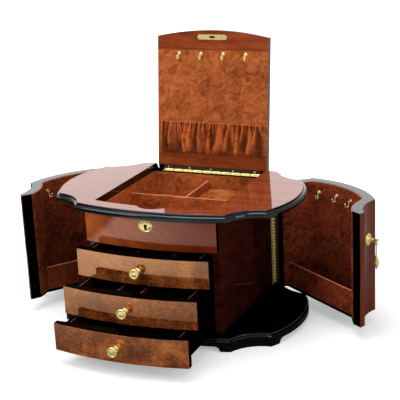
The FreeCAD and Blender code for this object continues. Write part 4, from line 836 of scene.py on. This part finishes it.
for side, word in SIDES:
    axis = Matrix.Translation((side * DOOR_AXIS.x, DOOR_AXIS.y, 0))
    flip = Matrix.Diagonal((side, 1, 1, 1))
    opened = DOOR_TURN[side] @ axis
    fixed = door_hinge_side(f"door_hinge_fixed_{word}_knuckled", 0, FIXED_LEAF, axis @ flip)
    moving = door_hinge_side(f"door_hinge_leaf_{word}_knuckled", 1, MOVING_LEAF, opened @ flip)
    beyond = (BARREL_RADIUS + DARK_MARGIN) * MM
    # Painted shade: the moving leaf, past its knuckles, gets the dark brass
    coat_where(moving, SHADED_BRASS, lambda at, up: (at - opened.translation).xy.length > beyond)
    stands_for(fixed, f"door_hinge_fixed_{word}")
    stands_for(moving, f"door_hinge_leaf_{word}")
remove(KNUCKLE)

# Piano hinge of the lid: long knuckles with chamfered ends; its moving leaf gets painted shade
LID_HINGE_HALF = 94
LONG_KNUCKLES = 10
LONG = 2 * LID_HINGE_HALF / LONG_KNUCKLES
LONG_RADIUS = 2.0
LID_LEAF_WIDE = 8.5
LID_LEAF_THICK = 1.2
FIXED_LID_LEAF = -1.4
MOVING_LID_LEAF = 0.2
BARREL = turned("lid_knuckle", 18, [
    (0.55, 1.3), (0.9, 1.85), (1.3, LONG_RADIUS), (LONG - 1.3, LONG_RADIUS), (LONG - 0.9, 1.85),
    (LONG - 0.55, 1.3),
])
moved(BARREL, TO_RIGHT)


def lid_hinge_side(name, first, low, place):
    """Leaf with its knuckles; low is the leaf's lower face."""
    leaf = block(
        (-LID_HINGE_HALF, LID_HINGE_HALF), (-LID_LEAF_WIDE, -LEAF_GAP), (low, low + LID_LEAF_THICK),
    )
    barrels = twin(BARREL, name + "_barrels")
    moved(barrels, Matrix.Translation(((first * LONG - LID_HINGE_HALF) * MM, 0, 0)))
    repeated(barrels, LONG_KNUCKLES // 2, (2 * LONG, 0, 0))
    return faces_outwards(moved(joined(name, dress(leaf, BRASS), barrels), place))


axis = Matrix.Translation(LID_AXIS)
fixed = lid_hinge_side("lid_hinge_leaf_fixed_knuckled", 0, FIXED_LID_LEAF, axis)
moving = lid_hinge_side("lid_hinge_leaf_moving_knuckled", 1, MOVING_LID_LEAF, LID_TURN @ axis)
beyond = (LONG_RADIUS + DARK_MARGIN) * MM
# Painted shade: the moving leaf, past its knuckles, gets the dark brass
coat_where(moving, SHADED_BRASS, lambda at, up: (at - LID_AXIS).yz.length > beyond)
stands_for(fixed, "lid_hinge_leaf_fixed")
stands_for(moving, "lid_hinge_leaf_moving")
remove(BARREL)

# Ends of the rear rail, on both sides of the lid hinge, each with a lip under the lid
RAIL_INNER = 95.5
RAIL_OUTER = 116
RAIL_DEEP = (134.6, 144.5)
RAIL_TALL = (206, 217.3)
LIP_OUTER = 106.2
LIP_DEEP = (139.5, 144.5)
LIP_TALL = (217.3, 218.1)
for side, word in reversed(SIDES):
    rail_end = block(sorted((side * RAIL_OUTER, side * RAIL_INNER)), RAIL_DEEP, RAIL_TALL)
    lip = block(sorted((side * LIP_OUTER, side * RAIL_INNER)), LIP_DEEP, LIP_TALL)
    joined(f"rear_rail_end_{word}", dress(rail_end, DEEP_BLACK), dress(lip, DEEP_BLACK))
    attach(rail_end, NODES["case_back"]["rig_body"])


# Gathered pocket in the lid: one sheet of suede on an elastic hem, its folds fanning from mouth to seam
POCKET_WIDE = 206.8
POCKET_DEEP = 60.6
SEAM_ROW = 30.1
POCKET_CLOTH = 0.6
LOWEST = 0.75
HIGHEST = 6.9
SIDE_EASE = 8
HEM_SHARE = 0.055
HEM_HIGH = 0.9
PLEAT_WIDE = 6.1
PLEAT_HIGH = 1.15
HOLLOW_DEEP = 0.5
MOUTH_WAVE = 0.5
FOLD_LIFT = 1.35
STEEP_SIDE = 0.8
GENTLE_SIDE = 1.25
FOLDS = [
    # place at the mouth, halfway and at the seam in millimetres, length of the fold as a share, height, width
    (7, 3, 1.5, 0.55, 1.5, 2.2),
    (15, 12, 10, 0.5, 1.2, 2.0),
    (22.5, 19, 20, 0.75, 2.1, 2.4),
    (30, 33, 40, 0.45, 1.3, 2.0),
    (35, 41, 46, 0.62, 1.8, 1.8),
    (41, 45.5, 51, 0.98, 2.8, 1.9),
    (52, 49, 47, 0.55, 2.0, 2.6),
    (63, 56, 58, 0.85, 2.4, 3.4),
    (69, 67, 66, 0.45, 1.3, 2.2),
    (79, 77, 80, 0.92, 2.6, 2.6),
    (88, 86, 85, 0.4, 1.4, 2.2),
    (100, 97.5, 96, 0.99, 3.0, 1.9),
    (107, 106, 104, 0.38, 1.3, 2.0),
    (118.5, 116, 107, 0.9, 2.3, 3.6),
    (124, 123, 120, 0.6, 1.8, 2.2),
    (138, 131, 127, 0.8, 2.2, 2.8),
    (144.5, 144.5, 146, 0.62, 1.9, 2.2),
    (155, 151.5, 149.5, 0.99, 3.0, 2.0),
    (165, 160, 157, 0.55, 1.9, 2.8),
    (178, 176.5, 171, 0.92, 2.5, 2.6),
    (190, 184, 181, 0.6, 1.9, 2.6),
    (197, 202, 204, 0.35, 1.4, 2.2),
]


def smooth(low, high, value):
    """An eased step from 0 at low to 1 at high."""
    share = min(1, max(0, (value - low) / (high - low)))
    return share * share * (3 - 2 * share)


def long_folds(u, v):
    """Height of the folds that run down from the mouth; u is in millimetres across, v from seam to mouth."""
    height = 0
    for mouth, middle, seam, reach, high, wide in FOLDS:
        if v > 0.5:
            at = middle + (mouth - middle) * (v - 0.5) * 2
        else:
            at = middle + (seam - middle) * (0.5 - v) * 2
        grown = wide * (0.55 + 0.9 * (1 - v))
        off = (u - at) / (grown * (STEEP_SIDE if u < at else GENTLE_SIDE))
        if abs(off) < 3:
            fading = smooth(1 - reach - 0.12, 1 - reach + 0.16, v)
            height += FOLD_LIFT * high * math.exp(-off * off) * fading
    return height * (1 - 0.45 * smooth(0.8, 1.0, v))


def pocket_relief(u, v):
    """Height of the sheet over the lining in millimetres, and its share of painted light: 1 on ridges, 0 in
    the painted shade of the folds.
    """
    sides = smooth(0, SIDE_EASE, u) * smooth(0, SIDE_EASE, POCKET_WIDE - u)
    belly = 0.8 + 1.3 * smooth(0, 0.12, v) - 0.3 * smooth(0.75, 1, v)
    folds = long_folds(u, v)
    waves = math.sin(2 * math.pi * (u / PLEAT_WIDE + 0.35 * math.sin(u * 0.11) + 0.22 * math.sin(u * 0.37)))
    pleats = PLEAT_HIGH * waves * smooth(0.70, 0.9, v) * (1 - 0.85 * smooth(0.93, 0.975, v))
    hollows = HOLLOW_DEEP * math.sin(u * 0.21 + 1.0 + 1.5 * v)
    hollows *= smooth(0.05, 0.3, v) * (1 - smooth(0.8, 0.95, v))
    hem = HEM_HIGH * math.sin(math.pi * min(1, max(0, (v - 1 + HEM_SHARE) / HEM_SHARE)))
    height = sides * (folds + pleats + hollows + belly + hem) * smooth(-0.02, 0.05, v)
    height += LOWEST * (1 - sides)
    # Painted light and shade: ridges, the hem, the seam and the sides are painted pale as if lit, and the
    # folds dark as if shaded
    rubbed_and_shaded = 0.12 + folds * 0.4 + pleats * 0.42 + hollows * 0.38 + hem * 0.85
    rubbed_and_shaded += 0.3 * (1 - smooth(0.0, 0.02, v)) + 0.35 * (1 - sides)
    return max(LOWEST, min(HIGHEST, height)), min(1, max(0, rubbed_and_shaded))


bpy.ops.object.select_all(action="DESELECT")
bpy.ops.mesh.primitive_grid_add(x_subdivisions=300, y_subdivisions=84, size=2)
pocket = bpy.context.object
pocket.name = "lid_pocket_gathered"
# Painted light and shade for each corner: pale on the ridges, dark in the folds
rubbed_and_shaded = pocket.data.attributes.new("rubbed_and_shaded", "FLOAT", "POINT")
for corner, mark in zip(pocket.data.vertices, rubbed_and_shaded.data):
    u = (corner.co.x + 1) / 2 * POCKET_WIDE
    v = (corner.co.y + 1) / 2
    mouth_line = MOUTH_WAVE * math.sin(u * 0.16) * smooth(0.9, 1, v)
    high, mark.value = pocket_relief(u, v)
    corner.co = Vector((u - POCKET_WIDE / 2, SEAM_ROW + v * POCKET_DEEP + mouth_line, high)) * MM
cloth = pocket.modifiers.new("cloth_thickness", "SOLIDIFY")
cloth.thickness = POCKET_CLOTH * MM
cloth.offset = -1
alone(pocket)
bpy.ops.object.modifier_apply(modifier=cloth.name)
bpy.ops.object.shade_smooth_by_angle(angle=SOFT)
dress(pocket, FOLDED_SUEDE)
moved(pocket, LID_FACE)
stands_for(pocket, "lid_pocket")

# Ring rolls: a padded piece, puffed by a cloth simulation
ROLLS_LOW = Vector((1.8, 18.8, 175.0)) * MM
ROLLS_HIGH = Vector((104.3, 116.7, 195.0)) * MM
ROLLS_HELD = 190.4
ROLLS_MESH = 1.3
# How much narrower and shallower the rolls start at their foot, and how much more at their crown
NARROWED = (0.015, 0.02)
SHALLOWED = (0.01, 0.01)
LOWERED = 0.6
ROLL_END = 0.86
END_DROP = 2.2
SWELL = 8
PRESSURE = 4
CLOTH_STEPS = 20
MOST_PUFF = 1.0


def slimmed(rolls):
    """Start a little smaller than the solid, with rounded ends to each roll."""
    middle = (ROLLS_LOW + ROLLS_HIGH) / 2
    for corner in rolls.data.vertices:
        x = (corner.co.x - middle.x) / (ROLLS_HIGH.x - middle.x)
        rise = (corner.co.z - ROLLS_LOW.z) / (ROLLS_HIGH.z - ROLLS_LOW.z)
        drop = LOWERED + END_DROP * max(0, abs(x) - ROLL_END) / (1 - ROLL_END)
        corner.co.x -= (corner.co.x - middle.x) * (NARROWED[0] + NARROWED[1] * rise)
        corner.co.y -= (corner.co.y - middle.y) * (SHALLOWED[0] + SHALLOWED[1] * rise)
        corner.co.z -= drop * MM * rise


def puffed(rolls):
    """Blow the rolls up a little; the cloth is worked out on a much larger scale, where it settles well."""
    moved(rolls, Matrix.Scale(SWELL, 4))
    held = rolls.vertex_groups.new(name="held")
    start = [corner.co.copy() for corner in rolls.data.vertices]
    low = [number for number, at in enumerate(start) if at.z < ROLLS_HELD * MM * SWELL]
    held.add(low, 1.0, "REPLACE")
    cloth = rolls.modifiers.new("puffed", "CLOTH")
    cloth.settings.quality = 5
    cloth.settings.mass = 0.3
    cloth.settings.use_pressure = True
    cloth.settings.uniform_pressure_force = PRESSURE
    cloth.settings.effector_weights.gravity = 0
    cloth.settings.vertex_group_mass = "held"
    for moment in range(1, CLOTH_STEPS + 1):
        bpy.context.scene.frame_set(moment)
    seen = rolls.evaluated_get(bpy.context.evaluated_depsgraph_get())
    blown = [corner.co.copy() for corner in seen.data.vertices]
    rolls.modifiers.remove(cloth)
    bpy.context.scene.frame_set(1)
    most = MOST_PUFF * MM * SWELL
    for corner, was, now in zip(rolls.data.vertices, start, blown):
        move = now - was
        if move.length > most:
            move = move.normalized() * most
        corner.co = was + move
        corner.co.z = min(corner.co.z, ROLLS_HIGH.z * SWELL)
    rolls.vertex_groups.clear()
    moved(rolls, Matrix.Scale(1 / SWELL, 4))


rolls = copy_of("ring_roll_pad", 0)
rolls.data.remesh_voxel_size = ROLLS_MESH * MM
bpy.ops.object.voxel_remesh()
slimmed(rolls)
puffed(rolls)
dress(rolls, SUEDE)
alone(rolls)
bpy.ops.object.shade_smooth_by_angle(angle=SOFT)
stands_for(rolls, "ring_roll_pad")


# Studio: a white board for floor, a plain room and soft lamps, in metres from the box's middle
SHADOW_WITHIN = 0.45
WHITE_PAST = 1.1
DIM_WITHIN = 0.3
BRIGHT_PAST = 0.66
BOARD_EDGE = (-0.52, -0.48)
FALL_OFF = (-0.3, 0.1)
ROOM_LIGHT = 0.42
ROOM_WHITE = 1.0
BOX_MIDDLE = (0, 0, 0.15)


def product(tree, first, second):
    made = tree.nodes.new("ShaderNodeMath")
    made.operation = "MULTIPLY"
    tree.links.new(first, made.inputs[0])
    tree.links.new(second, made.inputs[1])
    return made.outputs[0]


def lit(tree, strength):
    """Plain white light of a strength that is worked out."""
    made = tree.nodes.new("ShaderNodeEmission")
    tree.links.new(strength, made.inputs["Strength"])
    return made.outputs[0]


def floor_paint():
    """White board: it keeps the shadow near the box and is plain white further off."""
    made = bpy.data.materials.new("floor_paint")
    made.use_nodes = True
    tree = made.node_tree
    tree.nodes.clear()
    rays = tree.nodes.new("ShaderNodeLightPath").outputs
    place = tree.nodes.new("ShaderNodeTexCoord").outputs["Object"]
    length = tree.nodes.new("ShaderNodeVectorMath")
    length.operation = "LENGTH"
    tree.links.new(place, length.inputs[0])
    away = length.outputs["Value"]
    body = tree.nodes.new("ShaderNodeBsdfDiffuse")
    body.inputs["Color"].default_value = (0.88, 0.88, 0.88, 1)
    whitened = ranged(tree, away, SHADOW_WITHIN, WHITE_PAST, 0.38, 1.0, "SMOOTHSTEP")
    whitened = product(tree, whitened, rays["Is Camera Ray"])
    board = tree.nodes.new("ShaderNodeAddShader")
    tree.links.new(body.outputs[0], board.inputs[0])
    tree.links.new(lit(tree, whitened), board.inputs[1])
    # Painted reflection: in the polish the board glows instead of being lit, dim near the box where it stands
    # in for the box's shadow, bright further off, and dark past its left edge
    sides = tree.nodes.new("ShaderNodeSeparateXYZ")
    tree.links.new(place, sides.inputs[0])
    mirrored = ranged(tree, away, DIM_WITHIN, BRIGHT_PAST, 0.1, 1.2, "SMOOTHSTEP")
    mirrored = product(tree, mirrored, ranged(tree, sides.outputs["X"], *BOARD_EDGE, 0.05, 1.0))
    mirrored = product(tree, mirrored, ranged(tree, sides.outputs["X"], *FALL_OFF, 1.0, 0.45))
    either = tree.nodes.new("ShaderNodeMixShader")
    tree.links.new(rays["Is Glossy Ray"], either.inputs[0])
    tree.links.new(board.outputs[0], either.inputs[1])
    tree.links.new(lit(tree, mirrored), either.inputs[2])
    surface = tree.nodes.new("ShaderNodeOutputMaterial")
    tree.links.new(either.outputs[0], surface.inputs["Surface"])
    return made


bpy.ops.object.select_all(action="DESELECT")
bpy.ops.mesh.primitive_plane_add(size=30)
floor = bpy.context.object
floor.name = "floor"
dress(floor, floor_paint())

# The room is a plain pale grey that the camera sees as white
world = bpy.data.worlds.new("surroundings")
bpy.context.scene.world = world
world.use_nodes = True
tree = world.node_tree
tree.nodes.clear()
rays = tree.nodes.new("ShaderNodeLightPath")
room = tree.nodes.new("ShaderNodeMixShader")
tree.links.new(rays.outputs["Is Camera Ray"], room.inputs[0])
for socket, strength in ((1, ROOM_LIGHT), (2, ROOM_WHITE)):
    wall = tree.nodes.new("ShaderNodeBackground")
    wall.inputs["Color"].default_value = (1, 1, 1, 1)
    wall.inputs["Strength"].default_value = strength
    tree.links.new(wall.outputs[0], room.inputs[socket])
sky = tree.nodes.new("ShaderNodeOutputWorld")
tree.links.new(room.outputs[0], sky.inputs["Surface"])


def lamp(name, place, aim, size, power, colour=(1, 1, 1)):
    data = bpy.data.lights.new(name, "AREA")
    data.shape = "RECTANGLE"
    data.size, data.size_y = size
    data.energy = power
    data.color = colour
    made = bpy.data.objects.new(name, data)
    bpy.context.scene.collection.objects.link(made)
    made.location = place
    made.rotation_mode = "QUATERNION"
    made.rotation_quaternion = (Vector(aim) - Vector(place)).to_track_quat("-Z", "Y")


lamp("overhead_softbox", (-0.2, -0.1, 1.9), (0, 0, 0.1), (1.6, 1.2), 22)
lamp("front_left_softbox", (-1.3, -1.4, 1.3), BOX_MIDDLE, (1.0, 1.0), 12)
lamp("right_softbox", (1.7, -0.8, 1.0), BOX_MIDDLE, (0.8, 1.0), 8)
lamp("backdrop_softbox", (-1.15, 2.6, 1.15), BOX_MIDDLE, (3.0, 1.3), 14, (0.95, 0.98, 1))

bpy.context.scene.view_settings.view_transform = "Standard"
